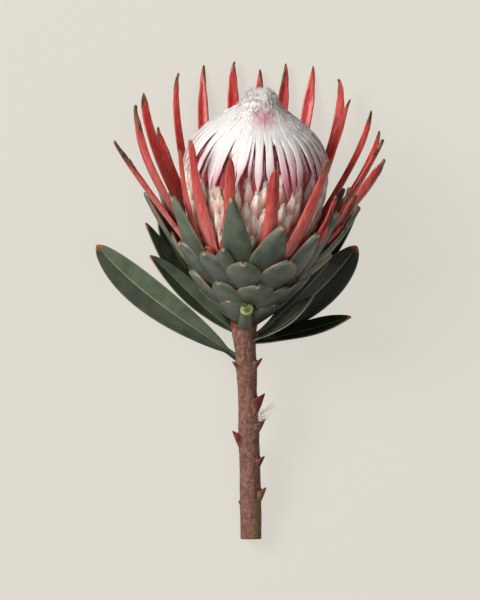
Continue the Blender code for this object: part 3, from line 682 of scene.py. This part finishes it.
# Fleshy bract skin: grey green under a thin wax that makes it satin, faintly mottled.
scale_skin, tree, shader = living("waxy_green_bract", {"Roughness": 0.46, "Coat Weight": 0.08})
place = add("Attribute", out="Vector", attribute_name="upright")
body = add("Attribute", out="Fac", attribute_name="body")
across, along, from_middle = blade_map()
cloudy = add("TexNoise", {"Vector": place, "Scale": 1 / (6 * MM), "Detail": 5})
mottled = add("TexNoise", {"Vector": place, "Scale": 1 / (1.2 * MM), "Detail": 3})
colour = add("ValToRGB", (cloudy,), ((0.3, "4C5548"), (0.7, "6C7463")))
fine = add("MapRange", (mottled, 0.55, 0.8, 0, 0.3))
border = add("MapRange", (from_middle, 0.425, 0.46, 0, 0.5))
rim, upper = add("MapRange", (from_middle, 0.455, 0.48)), add("MapRange", (along, 0.5, 0.95))
rim = add("Math", (rim, upper), operation="MULTIPLY")
# Painted shade: each green bract turns nearly black towards its foot, where it lies under the row below.
painted_foot_shade = add("MapRange", (along, 0.68, 0.22, 0, 0.85))
ragged = add("Math", (cloudy, 0.08, along), operation="MULTIPLY_ADD")
tip, near = add("MapRange", (ragged, 0.99, 1.02)), add("MapRange", (from_middle, 0.24, 0.1))
tip = add("Math", (tip, near), operation="MULTIPLY")
hard = add("ValToRGB", (mottled,), ((0.35, "A25E30"), (0.65, "D4A348")))
for share, laid_over in ((fine, "818977"), (border, "8A8C58"), (rim, "8C3A36"), (painted_foot_shade, "2C2E22"),
                         (tip, hard), (body, "5E6A50")):
    colour = add("Mix", {0: share, 6: colour, 7: laid_over}, data_type="RGBA")
bump = add("Bump", {"Height": mottled, "Distance": 0.1 * MM, "Strength": 0.4})
feed(shader, {"Base Color": colour, "Normal": bump})
settle(cup, HEAD, scale_skin)
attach(cup, "root")
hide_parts("green_bract_cup")

# The crown of long pink bracts: fleshy straps that stand up in a ring round the dome, channelled on
# their inner face, each with a dry brown tip. Two of the rear ones bear the head on the table.
BRACT_FOOT_R, BRACT_FOOT_H = 28, 39
BRACT_COLUMNS, BRACT_ROWS = 6, 30
BRACT_THICK, BRACT_THIN = 1.9 * MM, 0.8 * MM
# The ring that they all grow from
RING_RADII, RING_SIDES, RING_RINGS = ((36.5, 28.4), (38.5, 28.4), (42.3, 28.0)), 64, 6
# Where the handle of a bract's path lies, as shares of the way out and up
UPRIGHT, FLARED, HUGGING, STRAIGHT = (0.6, 0.5), (0.8, 0.66), (0.85, 0.45), (0.75, 0.7)
BOWED, HIGH_BOWED = (1, 0.62), (1.05, 0.72)
# Bracts whose feet are past this turn are twisted the other way
TWIST_CHANGES = 102
# Turn, radius and height of the tip, width, turn of the foot, path, and the share that has dried
PINK_BRACTS = (
    (-18, 44.2, 102.4, 9.2, -19, HUGGING, 0.03), (11, 43.9, 98.2, 10.2, 14, HUGGING, 0.02),
    (43, 50.4, 103, 10.4, 32, HUGGING, 0.05), (-48.6, 45.3, 106.2, 10.4, -38, HUGGING, 0.05),
    (60, 46, 80, 6, 52, HUGGING, 0.06), (77, 64.5, 98, 6.6, 74, FLARED, 0.16),
    (88, 61.7, 104, 4.6, 88, FLARED, 0.14), (99, 60.6, 104, 4.2, 103, BOWED, 0.08),
    (113, 60, 110, 3.3, 114, HIGH_BOWED, 0.17), (126, 55, 112.6, 4.2, 123, UPRIGHT, 0.07),
    (138, 60, 118.1, 5.2, 128, HIGH_BOWED, 0.09), (167, 56, 121.6, 6.8, 166, UPRIGHT, 0.06),
    (180, 54, 117.8, 6.6, 180, UPRIGHT, 0.05), (-166, 56, 120.9, 7, -166, UPRIGHT, 0.07),
    (-137, 60, 116.2, 3.9, -129, BOWED, 0.1), (-122, 59, 91, 5.6, -120, UPRIGHT, 0.08),
    (-108, 60.3, 112.8, 5.4, -112, HIGH_BOWED, 0.11), (-91, 61.5, 112, 5.8, -101, BOWED, 0.15),
    (-74, 74, 100, 3.6, -74, STRAIGHT, 0.3), (-60, 44.4, 98, 5.5, -52, HUGGING, 0.05),
    (-153.5, 63.6, 117.2, 5.8, -142, UPRIGHT, 0.07), (155.2, 62.5, 120.6, 6, 146, UPRIGHT, 0.05),
    (-98, 61, 103, 2.2, -101, BOWED, 0.12), (-103, 59, 96, 2.4, -105, HIGH_BOWED, 0.1),
    (-84, 63, 86, 2.2, -92, FLARED, 0.2), (66, 50.5, 84, 3, 62, HUGGING, 0.35),
    (71, 52.5, 79, 3, 68, HUGGING, 0.4), (55, 47.5, 73, 3, 53, HUGGING, 0.3),
)
# The short young bracts between their feet, and where they leave a gap in front
YOUNG_STEP, YOUNG_GAP, YOUNG_R, YOUNG_WIDTH = 14, (-14, 40), 37.2, 8
# The frayed hairs on the tip of the first bract
FRAYED_HAIRS, FRAYED_RADIUS = 9, 0.22 * MM
FRAYED_TURN, FRAYED_R, FRAYED_H = math.radians(-18), 44.4, 100.5


def bract_shape(s, hugging):
    """Share of the full width of a pink bract: a round finger, or a long strap that narrows to its tip."""
    if hugging:
        return (1.1 - 0.7 * s) * max(1 - risen(s, 0.9, 1) ** 2, 0.03) ** 0.5
    return (1.12 - 0.3 * s) * (1 - 0.93 * risen(s, 0.78, 1) ** 1.8)


draw = random.Random(8)
bracts, young = [], []
for turn in range(-175, 180, YOUNG_STEP):
    if not YOUNG_GAP[0] < turn < YOUNG_GAP[1]:
        tip_turn, tip_h = turn + draw.uniform(-4, 4), draw.uniform(51, 57)
        young.append((tip_turn, YOUNG_R, tip_h, YOUNG_WIDTH, turn, HUGGING, 0.02))
for tip_turn, tip_r, tip_h, width, foot_turn, bow, dry_share in (*PINK_BRACTS, *young):
    curve, side_at = head_line((foot_turn, BRACT_FOOT_R, BRACT_FOOT_H), (tip_turn, tip_r, tip_h), bow)
    hugging = bow is HUGGING
    dry_from = 1 - dry_share
    # Its twist, the bend of its dry tip to one side, the depth of its channel, and its waist below the tip
    twist = (0.1 if hugging else 0.5) * draw.uniform(-1, 1)
    phase, hook = draw.uniform(0, 6), draw.uniform(-1.2, 1.2) * (0.2 if hugging else 1)
    channel = 0.45 if hugging else draw.uniform(0.3, 0.5)
    waist = 0 if hugging else draw.uniform(0.1, 0.22)

    def bract_line(s):
        sway = 0.5 * math.sin(6 * s + phase) * s * (0.3 if hugging else 1)
        return curve(s) + side_at(s) * (sway + hook * risen(s, dry_from, 1) ** 2) * MM

    def bract_side(s):
        outward = side_at(s).cross(heading(bract_line, s))
        faced = 1 if abs(foot_turn) < TWIST_CHANGES else -1
        seen = 0 if hugging else 0.8 * faced * math.sin(math.radians(foot_turn)) * min(3 * s, 1)
        return side_at(s) + outward * (seen + math.sin(twist * s + 1.2 * hook * risen(s, dry_from, 1)))

    def bract_reach(s):
        uneven = 0.05 * math.sin(11 * s + phase) - waist * math.exp(-((s - dry_from + 0.08) / 0.03) ** 2)
        torn = 0.35 * max(math.sin(43 * s + phase), 0) * risen(s, dry_from, 1)
        return width / 2 * bract_shape(s, hugging) * (1 + uneven - torn) * MM

    def bract_bend(across, s):
        wave = 0.22 * math.sin(16 * s + phase + 2 * across) * across ** 2 * s
        return (abs(across) ** 1.7 * channel * min(0.3 + 2 * s, 1) * bract_reach(s) / MM + wave) * MM

    bract = blade("bract", BRACT_COLUMNS, BRACT_ROWS, bract_line, bract_side, bract_reach, bract_bend,
                  fullness=2.2)
    own, lean = draw.uniform(0, 1), draw.uniform(-1, 1)

    def dryness(point):
        """About 1 where the bract has dried. The border of the dry tip runs aslant."""
        row, column = divmod(point.index, BRACT_COLUMNS + 1)
        slant = max(lean * (column / BRACT_COLUMNS - 0.5), -0.1)
        return (row / BRACT_ROWS - dry_from) * 8 + 2.4 * slant + 0.4

    mark(bract, "own", lambda point: own)
    mark(bract, "dry", dryness)
    bracts.append(bract)
bracts = thickened(joined("bracts", bracts), BRACT_THICK, BRACT_THIN)
ring = turned_body("bract_ring", RING_RADII, RING_SIDES, RING_RINGS,
                   lambda turn, height: 0.3 * math.sin(turn * 22))
mark(ring, "body", lambda point: 1)
tuft = []
for _ in range(FRAYED_HAIRS):
    lean, reach, back = draw.uniform(-0.4, 0.4), draw.uniform(3.5, 7), draw.uniform(-0.3, 0.05)
    tuft.append(([around(FRAYED_TURN + lean * step * reach / 160, (FRAYED_R + back * step) * MM,
                         (FRAYED_H + reach * step / 4) * MM) for step in range(5)], FRAYED_RADIUS))
tuft = hair_mesh("tip_tuft", tuft)
mark(tuft, "dry", lambda point: 0.55)
pink_crown = joined("protea_pink_bracts", [ring, bracts, tuft])


def inner_share(point):
    """1 where a point looks to the middle of the head, 0 where it looks away."""
    turn = math.atan2(point.co.x, -point.co.y)
    return 0.5 - 0.5 * max(-1, min(1, 4 * point.normal.dot(around(turn, 1, -0.4))))


mark(pink_crown, "inner", inner_share)

# Pink bract flesh: turgid and satin, coral outside and clear red inside, paler at the foot and along
# its margins; its tip is dead and papery, in browns.
finish = {"Roughness": 0.42, "Coat Weight": 0.15, "Subsurface Weight": 0.55,
          "Subsurface Radius": (1, 0.3, 0.2), "Subsurface Scale": 3 * MM}
bract_flesh, tree, shader = living("pink_bract_flesh", finish)
place = add("Attribute", out="Vector", attribute_name="upright")
inner, own, dry = (add("Attribute", out="Fac", attribute_name=name) for name in ("inner", "own", "dry"))
across, along, from_middle = blade_map()
cloudy = add("TexNoise", {"Vector": place, "Scale": 1 / (5 * MM), "Detail": 5})
grain = add("Mapping", {"Vector": place, "Scale": (1, 1, 0.22)})
mottled = add("TexNoise", {"Vector": grain, "Scale": 1 / (1.6 * MM), "Detail": 4})
spread = add("Math", (cloudy, 0.25, along), operation="MULTIPLY_ADD")
colour = add("ValToRGB", (spread,), ((0.15, "E6A8A0"), (1.1, "B44038"), (0.4, "D87C74"), (0.75, "CC5650")))
inside = add("ValToRGB", (spread,), ((0.3, "D8685E"), (1.1, "C8241C"), (0.6, "D23028")))
lengthwise = add("Mapping", {"Vector": add("CombineXYZ", (across, along, own)), "Scale": (5, 1.8, 30)})
strips = add("TexNoise", {"Vector": lengthwise, "Scale": 1, "Detail": 3})
outer = add("Math", (1, inner), operation="SUBTRACT", use_clamp=True)
# Painted highlight: lighter coral streaks laid along the outer faces of the bracts only.
painted_highlight_streaks = add("Math", (add("MapRange", (strips, 0.52, 0.74, 0, 0.5)), outer), operation="MULTIPLY")
deep_red = add("MapRange", (strips, 0.45, 0.3, 0, 0.6))
pale = add("MapRange", (mottled, 0.5, 0.75, 0, 0.35))
dark = add("MapRange", (mottled, 0.45, 0.3, 0, 0.6))
rim = add("MapRange", (from_middle, 0.44, 0.5, 0, 0.6))
dead = add("MapRange", (add("Math", (mottled, 0.5, dry), operation="MULTIPLY_ADD"), 0.7, 0.95))
husk = add("ValToRGB", (mottled,), ((0.32, "3E261C"), (0.68, "8E6244")))
for share, laid_over in ((inner, inside), (painted_highlight_streaks, "EA8072"), (deep_red, "A32A2A"), (pale, "E08C7C"),
                         (dark, "8E2F2E"), (rim, "D9776A"), (dead, husk)):
    colour = add("Mix", {0: share, 6: colour, 7: laid_over}, data_type="RGBA")
rough = add("MapRange", (dead, 0, 1, 0.42, 0.85))
wrinkles = add("Math", (strips, 1.6, mottled), operation="MULTIPLY_ADD")
bump = add("Bump", {"Height": wrinkles, "Distance": 0.25 * MM, "Strength": 0.7})
feed(shader, {"Base Color": colour, "Roughness": rough, "Normal": bump})
settle(pink_crown, HEAD, bract_flesh)
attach(pink_crown, "root")
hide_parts("pink_bract_crown")

# The dome of florets: a crimson core of packed floret tubes, ridged where it is bare, with rows of
# closed florets round its lower half. Each is a pale pink bud whose tip ends in cream silk.
DOME_RADII = ((36.35, 26.2), (45, 26.4), (56, 30.4), (67, 33), (78, 34.2), (86, 33.6), (92.5, 31.4),
              (98.4, 28), (103.6, 22), (108.6, 12), (110.4, 0.5))
FLORET_ROWS = (43.5, 50, 56.5, 62.5, 68.5, 74)
FLORETS_IN_ROW, FLORET_LENGTH, BUD_SIDES, BUD_RINGS = 23, 14, 16, 10
FLORET_HALF_WIDTH, FLORET_HALF_DEPTH = 3.7 * MM, 2.7 * MM
# The prongs of the split tip, and the silk on each floret
PRONG_RADIUS, FLORET_HAIRS, FLORET_HAIR_RADIUS = 0.42 * MM, 34, 0.16 * MM
CORE_SIDES, CORE_RINGS = 204, 44


def dome_swell(turn, height):
    """The ridges of the tubes in the bare upper half of the dome."""
    ridge = 0.5 * math.sin(turn * 68) + 0.35 * math.sin(turn * 34 + 1)
    return ridge * risen(height, 66, 76) * risen(height, 109, 103)


draw = random.Random(11)
florets, floret_hairs = [], []
for row, level in enumerate(FLORET_ROWS):
    for i in range(FLORETS_IN_ROW):
        turn = math.tau * (i + 0.5 * (row % 2)) / FLORETS_IN_ROW + draw.uniform(-0.03, 0.03)
        low, length = level + draw.uniform(-1.7, 1.7), FLORET_LENGTH + draw.uniform(-1.8, 1.8)
        foot = around(turn, (between(DOME_RADII, low) - 1.4) * MM, low * MM)
        tip_turn, high = turn + draw.uniform(-0.02, 0.02), low + length
        tip = around(tip_turn, (between(DOME_RADII, high) + 1.5) * MM, high * MM)
        upwards, side = (tip - foot).normalized(), sideways(turn)
        outward = side.cross(upwards)
        stout = draw.uniform(0.85, 1.1)
        pick()
        bpy.ops.mesh.primitive_uv_sphere_add(segments=BUD_SIDES, ring_count=BUD_RINGS, radius=1)
        bud = bpy.context.object
        bud.name = "floret"
        for point in bud.data.vertices:
            across, depth, s = point.co.x, point.co.y, (point.co.z + 1) / 2
            keeled = 1 + 0.3 * math.cos(4 * math.atan2(depth, across)) * s
            girth = (1.3 - 1.05 * s) * keeled * stout
            point.co = (foot.lerp(tip, s) + side * across * girth * FLORET_HALF_WIDTH
                        - outward * depth * girth * FLORET_HALF_DEPTH)
        mark(bud, "tip", lambda point: (point.co - foot).dot(tip - foot) / (tip - foot).length_squared)
        florets.append(bud)
        for prong in (-1, 0, 1):
            apart = side * prong * 0.8 * MM + outward * draw.uniform(-0.6, 0.3) * MM
            line = [tip - upwards * 2 * MM + apart, tip + apart,
                    tip + upwards * draw.uniform(0.8, 2) * MM + apart * 1.4]
            floret_hairs.append((line, PRONG_RADIUS))
        for _ in range(FLORET_HAIRS):
            angle, back = draw.uniform(0, math.tau), 0.42 * draw.random() ** 1.3
            wide = math.sin(math.acos(1 - 2 * max(back, 0.02))) * (0.3 + 0.95 * back ** 1.25)
            root = (foot.lerp(tip, 1 - back) + side * math.cos(angle) * wide * FLORET_HALF_WIDTH
                    - outward * math.sin(angle) * wide * FLORET_HALF_DEPTH)
            reach = (1.6 + back * 5 + draw.uniform(-0.5, 1)) * MM
            lean = (tip - root) * draw.uniform(0.1, 0.5) + stray(draw, 0.5 * MM)
            line = [root, root + upwards * reach * 0.5 + lean * 0.3, root + upwards * reach + lean]
            floret_hairs.append((line, FLORET_HAIR_RADIUS))
core = turned_body("dome_core", DOME_RADII, CORE_SIDES, CORE_RINGS, dome_swell)
mark(core, "body", lambda point: 1)
dome_hair = hair_mesh("dome_hair", floret_hairs)
mark(dome_hair, "tip", lambda point: 1)
dome = joined("protea_floret_dome", [core, dome_hair] + florets)

# Closed florets: thin dry perianths with a silky bloom, deep pink in the shade between them, pale
# pink on their flanks and cream at the hairy tips. The core between the silk strands is crimson.
finish = {"Roughness": 0.62, "Sheen Weight": 0.3, "Sheen Roughness": 0.5, "Subsurface Weight": 0.1,
          "Subsurface Radius": (1.2, 0.6, 0.5), "Subsurface Scale": 1 * MM}
floret_skin, tree, shader = living("closed_floret", finish)
place = add("Attribute", out="Vector", attribute_name="upright")
body, tip = (add("Attribute", out="Fac", attribute_name=name) for name in ("body", "tip"))
z = add("SeparateXYZ", (place,), out="Z")
drawn_out = add("Mapping", {"Vector": place, "Scale": (1, 1, 0.2)})
streaks = add("TexNoise", {"Vector": drawn_out, "Scale": 1 / (0.9 * MM), "Detail": 3})
spread = add("Math", (streaks, 0.3, tip), operation="MULTIPLY_ADD")
bud = add("ValToRGB", (spread,), ((0.3, "B87466"), (1.02, "FFF9EA"), (0.58, "DDA894"), (0.8, "F3DCC8")))
upper, streaked = add("MapRange", (z, 70 * MM, 84 * MM)), add("MapRange", (streaks, 0.5, 0.7, 0, 0.5))
bare = add("Mix", {0: upper, 6: "A86A68", 7: "A82E3A"}, data_type="RGBA")
bare = add("Mix", {0: streaked, 6: bare, 7: "D58088"}, data_type="RGBA")
colour = add("Mix", {0: body, 6: bud, 7: bare}, data_type="RGBA")
bump = add("Bump", {"Height": streaks, "Distance": 0.15 * MM, "Strength": 0.6})
feed(shader, {"Base Color": colour, "Normal": bump})
settle(dome, HEAD, floret_skin)
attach(dome, "root")
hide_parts("floret_dome")

# The silky crown: the joined tips of the open florets. Their white silk lies in a smooth collar round
# a woolly knob and falls over the dome in satin strands that end free.
CROWN_RADII = ((103.4, 23.9), (104.8, 24), (106.2, 22.9), (108.2, 20.9), (112, 15.3), (115.4, 10.9),
               (118.6, 8.4), (122, 6.9), (124, 4.4), (124.6, 1.2))
STRAND_RADII = ((77, 36.8), (86, 35.2), (92.5, 33), (98.4, 29.8), (102.8, 26.4), (106.2, 22.8),
                (108.2, 20.6), (112, 15.0), (115.4, 10.8), (119, 8.2))
CROWN_SIDES, CROWN_RINGS = 160, 36
STRAND_COUNT, STRAND_ROWS, WIDE_COLUMNS, SLIM_COLUMNS = 34, 24, 4, 2
STRAND_TOP, STRAND_END, SLIM_CHANCE = 118.5, 83.5, 0.8
STRAND_THICK, STRAND_THIN = 0.45 * MM, 0.3 * MM
# The shares of a strand's length where it comes free and where it starts to narrow
STRAND_FREE, STRAND_NARROWS = 0.35, 0.74
# The short wool of the knob, single hairs that float off the strands, and twisted locks, with the
# heights that wool and locks start at and reach up
FLOSS_HAIRS, FLOSS_RADIUS, FLOSS_FROM, FLOSS_UP = 2600, 0.07 * MM, 104, 20.4
FLOATING_HAIRS, FLOATING_RADIUS, FLOATING_STEPS = 150, 0.09 * MM, 7
LOCKS, LOCK_STEPS, LOCK_STEP, LOCKS_FROM, LOCKS_UP = 620, 6, 0.62 * MM, 109, 15.2


def crown_swell(turn, height):
    """The lumps of the woolly knob and the fine ridges of the collar."""
    knob = risen(height, 115, 119)
    return 0.9 * ripple(turn, 3, height * 0.6) * knob + 0.3 * ripple(turn, 16, 0) * (1 - knob)


def silk_strand(turn, swing, end, width, lift, columns, draw):
    """One ribbon of silk, from the knob down over the dome to the height of its end."""
    phase, roll = draw.uniform(0, 6), draw.uniform(-0.5, 0.5)

    def strand_line(s):
        height = STRAND_TOP + (end - STRAND_TOP) * s
        off = lift * math.sin(math.pi * risen(s, STRAND_FREE, 1)) + 0.2 - 1.5 * risen(s, 0.38, 0)
        sway = swing * s ** 1.5 + 0.012 * math.sin(5 * s + phase) * s
        return around(turn + sway, (between(STRAND_RADII, height) + off) * MM, height * MM)

    def strand_side(s):
        return around(turn, 1, 0) * roll * max(s - 0.4, 0) * 1.6 - sideways(turn)

    def strand_reach(s):
        room = math.tau * between(STRAND_RADII, STRAND_TOP + (end - STRAND_TOP) * s) / STRAND_COUNT
        taper = 1 - 0.95 * risen(s, STRAND_NARROWS, 1) ** 1.3
        return min(room * 1.4, width) / 2 * taper * (1 + 0.08 * math.sin(9 * s + phase)) * MM

    def strand_bend(across, s):
        free = min(max(s - STRAND_FREE, 0) * 3, 1)
        return (-0.3 * (1 - across ** 2) * free + (0.04 + 0.1 * free) * math.sin(3 * across + phase)) * MM

    strand = blade("strand", columns, STRAND_ROWS, strand_line, strand_side, strand_reach, strand_bend)
    own = draw.random()
    mark(strand, "own", lambda point: own)
    return strand


draw = random.Random(12)
strands = []
for i in range(STRAND_COUNT):
    turn = math.tau * i / STRAND_COUNT
    end = STRAND_END + draw.uniform(-5, 4.5)
    swing = math.radians(draw.uniform(-7, 7))
    width, lift = draw.uniform(3.1, 4.7), draw.uniform(0.1, 1.1)
    strands.append(silk_strand(turn, swing, end, width, lift, WIDE_COLUMNS, draw))
    if draw.random() < SLIM_CHANCE:
        beside = turn + math.pi / STRAND_COUNT + draw.uniform(-0.02, 0.02)
        end, width = end + draw.uniform(-1, 9), draw.uniform(1.4, 2.6)
        strands.append(silk_strand(beside, 0, end, width, -0.6, SLIM_COLUMNS, draw))
strands = thickened(joined("strands", strands), STRAND_THICK, STRAND_THIN)
mark(strands, "strand", lambda point: 1)
collar = turned_body("collar", CROWN_RADII, CROWN_SIDES, CROWN_RINGS, crown_swell)
silk_crown = joined("protea_silk_crown", [collar, strands])
silk_hairs = []
for _ in range(FLOSS_HAIRS):
    level = FLOSS_FROM + FLOSS_UP * draw.random() ** 0.8
    turn = draw.uniform(0, math.tau)
    knob = risen(level, 113, 118)
    out = between(CROWN_RADII, max(level, 104.9)) + crown_swell(turn, level) * 0.7
    root = around(turn, out * MM, level * MM)
    falling = around(turn + draw.uniform(-0.5, 0.5), 0.8, -0.75)
    rising = around(turn + draw.uniform(-1.5, 1.5), 0.7, draw.uniform(-0.8, 1.2))
    ahead = falling.lerp(rising, knob * draw.uniform(0.5, 1)).normalized()
    reach = draw.uniform(1.5, 3.5) * MM * (1 - 0.3 * knob)
    curl = stray(draw, 1) * reach * (0.12 + 0.3 * knob)
    middle = root + ahead * reach * 0.35 + curl * 0.8
    late = root + ahead * reach * 0.7 - curl * 0.5
    silk_hairs.append(([root, middle, late, root + ahead * reach + curl], FLOSS_RADIUS))
for _ in range(FLOATING_HAIRS):
    turn, level = draw.uniform(0, math.tau), draw.uniform(96, 107)
    drop, drift, off = draw.uniform(7, 17), draw.uniform(-0.12, 0.12), draw.uniform(0.2, 2.2)
    floating = []
    for s in (step / FLOATING_STEPS for step in range(FLOATING_STEPS + 1)):
        height = level - drop * s
        out = between(STRAND_RADII, height) + 0.6 + off * s ** 2
        floating.append(around(turn + drift * s ** 1.5, out * MM, height * MM))
    silk_hairs.append((floating, FLOATING_RADIUS))
for _ in range(LOCKS):
    level = LOCKS_FROM + LOCKS_UP * draw.random() ** 0.75
    turn = draw.uniform(0, math.tau)
    on_it = between(CROWN_RADII, level)
    if level < STRAND_RADII[-1][0]:
        on_it = max(on_it, between(STRAND_RADII, level))
    upper = risen(level, 114, 120)
    lock = [around(turn, (on_it + 0.1) * MM, level * MM)]
    for step in range(LOCK_STEPS):
        down = around(turn, 0.85 - 0.25 * upper, -0.6 + 0.5 * upper * draw.uniform(-1, 1))
        curl = stray(draw, 1) * (0.12 + 0.45 * upper)
        ahead = down + curl - around(turn, 0.25 * step * upper, 0)
        lock.append(lock[-1] + ahead.normalized() * LOCK_STEP)
    silk_hairs.append((lock, draw.uniform(0.16, 0.34) * MM))
silk_hair = hair_mesh("protea_silk_hair", silk_hairs)

# Protea silk: dense straight hairs that lie together like satin, white, with pink strands under them
# and a pink flush in the wool of the knob.
finish = {"Roughness": 0.5, "Sheen Weight": 0.5, "Sheen Roughness": 0.4, "Subsurface Weight": 0.1,
          "Subsurface Radius": (1.2, 0.9, 0.9), "Subsurface Scale": 1.6 * MM}
silk, tree, shader = living("protea_silk", finish)
place = add("Attribute", out="Vector", attribute_name="upright")
own = add("Attribute", out="Fac", attribute_name="own")
x, y, z = add("SeparateXYZ", (place,)).node.outputs
lines = add("CombineXYZ", (add("Math", (x, y), operation="ARCTAN2"), z))
lines = add("Mapping", {"Vector": lines, "Scale": (38, 60, 1)})
streaks = add("TexNoise", {"Vector": lines, "Scale": 1, "Detail": 4, "Roughness": 0.6})
colour = add("ValToRGB", (streaks,), ((0.3, "E6D2D0"), (0.52, "FBF7F2")))
# Painted shade: the pink of the strand ends, which is their own colour, grows from 0.75 to 1.5 times as
# strong towards the head's right, away from the key lamp.
painted_shade_towards_right = add("MapRange", (x, -12 * MM, 24 * MM, 0.75, 1.5))
# From here own holds each strand's own pink share times that painted shade.
own = add("Math", (add("MapRange", (own, 0, 1, 0.45)), painted_shade_towards_right), operation="MULTIPLY")
ends = add("MapRange", (z, 103 * MM, 85 * MM))
ends = add("Math", (ends, own), operation="MULTIPLY", use_clamp=True)
woolly = add("TexNoise", {"Vector": place, "Scale": 1 / (3 * MM), "Detail": 4})
flush, high = add("MapRange", (woolly, 0.46, 0.66, 0, 0.3)), add("MapRange", (z, 109 * MM, 115 * MM))
flush = add("Math", (flush, high), operation="MULTIPLY")
patch = add("VectorMath", (place, (2 * MM, -13 * MM, 113.5 * MM)), operation="DISTANCE")
patch = add("MapRange", (patch, 8.5 * MM, 2 * MM))
for factor in (streaks, 1.5):
    patch = add("Math", (patch, factor), operation="MULTIPLY")
flush = add("Math", (flush, patch), operation="ADD", use_clamp=True)
for share, laid_over in ((ends, "D27C88"), (flush, "D28E96")):
    colour = add("Mix", {0: share, 6: colour, 7: laid_over}, data_type="RGBA")
bump = add("Bump", {"Height": streaks, "Distance": 0.2 * MM, "Strength": 0.6})
feed(shader, {"Base Color": colour, "Normal": bump})
for piece in (silk_crown, silk_hair):
    settle(piece, HEAD, silk)
    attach(piece, "root")
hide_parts("silk_crown")

# The table: a plain pale warm grey card, matt. It glows a little by itself, so that it stays pale and
# the flower's shadow on it faint, and it throws no light back on the flower.
TABLE_SIZE = 8
pick()
bpy.ops.mesh.primitive_plane_add(size=TABLE_SIZE)
floor = bpy.context.object
floor.name = "table"
card, tree, shader = living("pale_card", {
    "Roughness": 0.9, "Base Color": "5C5A56", "Emission Color": "D1CCC2",
    "Emission Strength": 1, "Specular IOR Level": 0.1})
floor.data.materials.append(card)
floor.visible_diffuse = False

# Studio light: one large soft lamp from the upper left and a wider, softer one near the camera.
LAMP_DISTANCE = 2.6
CAMERA_TILT = math.radians(7.5)
PHOTO_UP = Vector((0, math.cos(CAMERA_TILT), -math.sin(CAMERA_TILT)))
PHOTO_MIDDLE = HEAD_BASE + Vector((-2 * MM, 0, 0)) + PHOTO_UP * 13 * MM
# Name, direction from the flower, diameter in metres, and watts
KEY, FILL = ("key", (-0.66, 0.42, 0.64), 1.3, 74), ("fill", (0.25, -0.1, 1), 1.6, 19)
for name, direction, size, power in (KEY, FILL):
    lamp = bpy.data.lights.new(name, "AREA")
    lamp.shape = "DISK"
    lamp.size = size
    lamp.energy = power
    lamp_object = bpy.data.objects.new(name, lamp)
    lamp_object.location = PHOTO_MIDDLE + Vector(direction).normalized() * LAMP_DISTANCE
    lamp_object.rotation_euler = Vector(direction).to_track_quat("Z", "Y").to_euler()
    bpy.context.scene.collection.objects.link(lamp_object)
world = bpy.data.worlds.new("studio")
world.use_nodes = True
feed(world.node_tree.nodes["Background"], {"Color": "E8E6E2", "Strength": 0.1})
bpy.context.scene.world = world

# The camera: far off, with a long lens, at the photograph's angle.
CAMERA_DISTANCE, LENS, SENSOR, VIEW_REACH = 3.0, 360, 36, 20
TOWARDS_CAMERA = Vector((0, math.sin(CAMERA_TILT), math.cos(CAMERA_TILT)))
lens = bpy.data.cameras.new("camera")
lens.lens = LENS
lens.sensor_fit = "VERTICAL"
lens.sensor_width = lens.sensor_height = SENSOR
lens.clip_end = VIEW_REACH
camera = bpy.data.objects.new("camera", lens)
right = PHOTO_UP.cross(TOWARDS_CAMERA)
turned_to = Matrix((right, PHOTO_UP, TOWARDS_CAMERA)).transposed().to_4x4()
camera.matrix_world = Matrix.Translation(PHOTO_MIDDLE + TOWARDS_CAMERA * CAMERA_DISTANCE) @ turned_to
bpy.context.scene.collection.objects.link(camera)
bpy.context.scene.camera = camera
bpy.context.scene.view_settings.view_transform = "Standard"
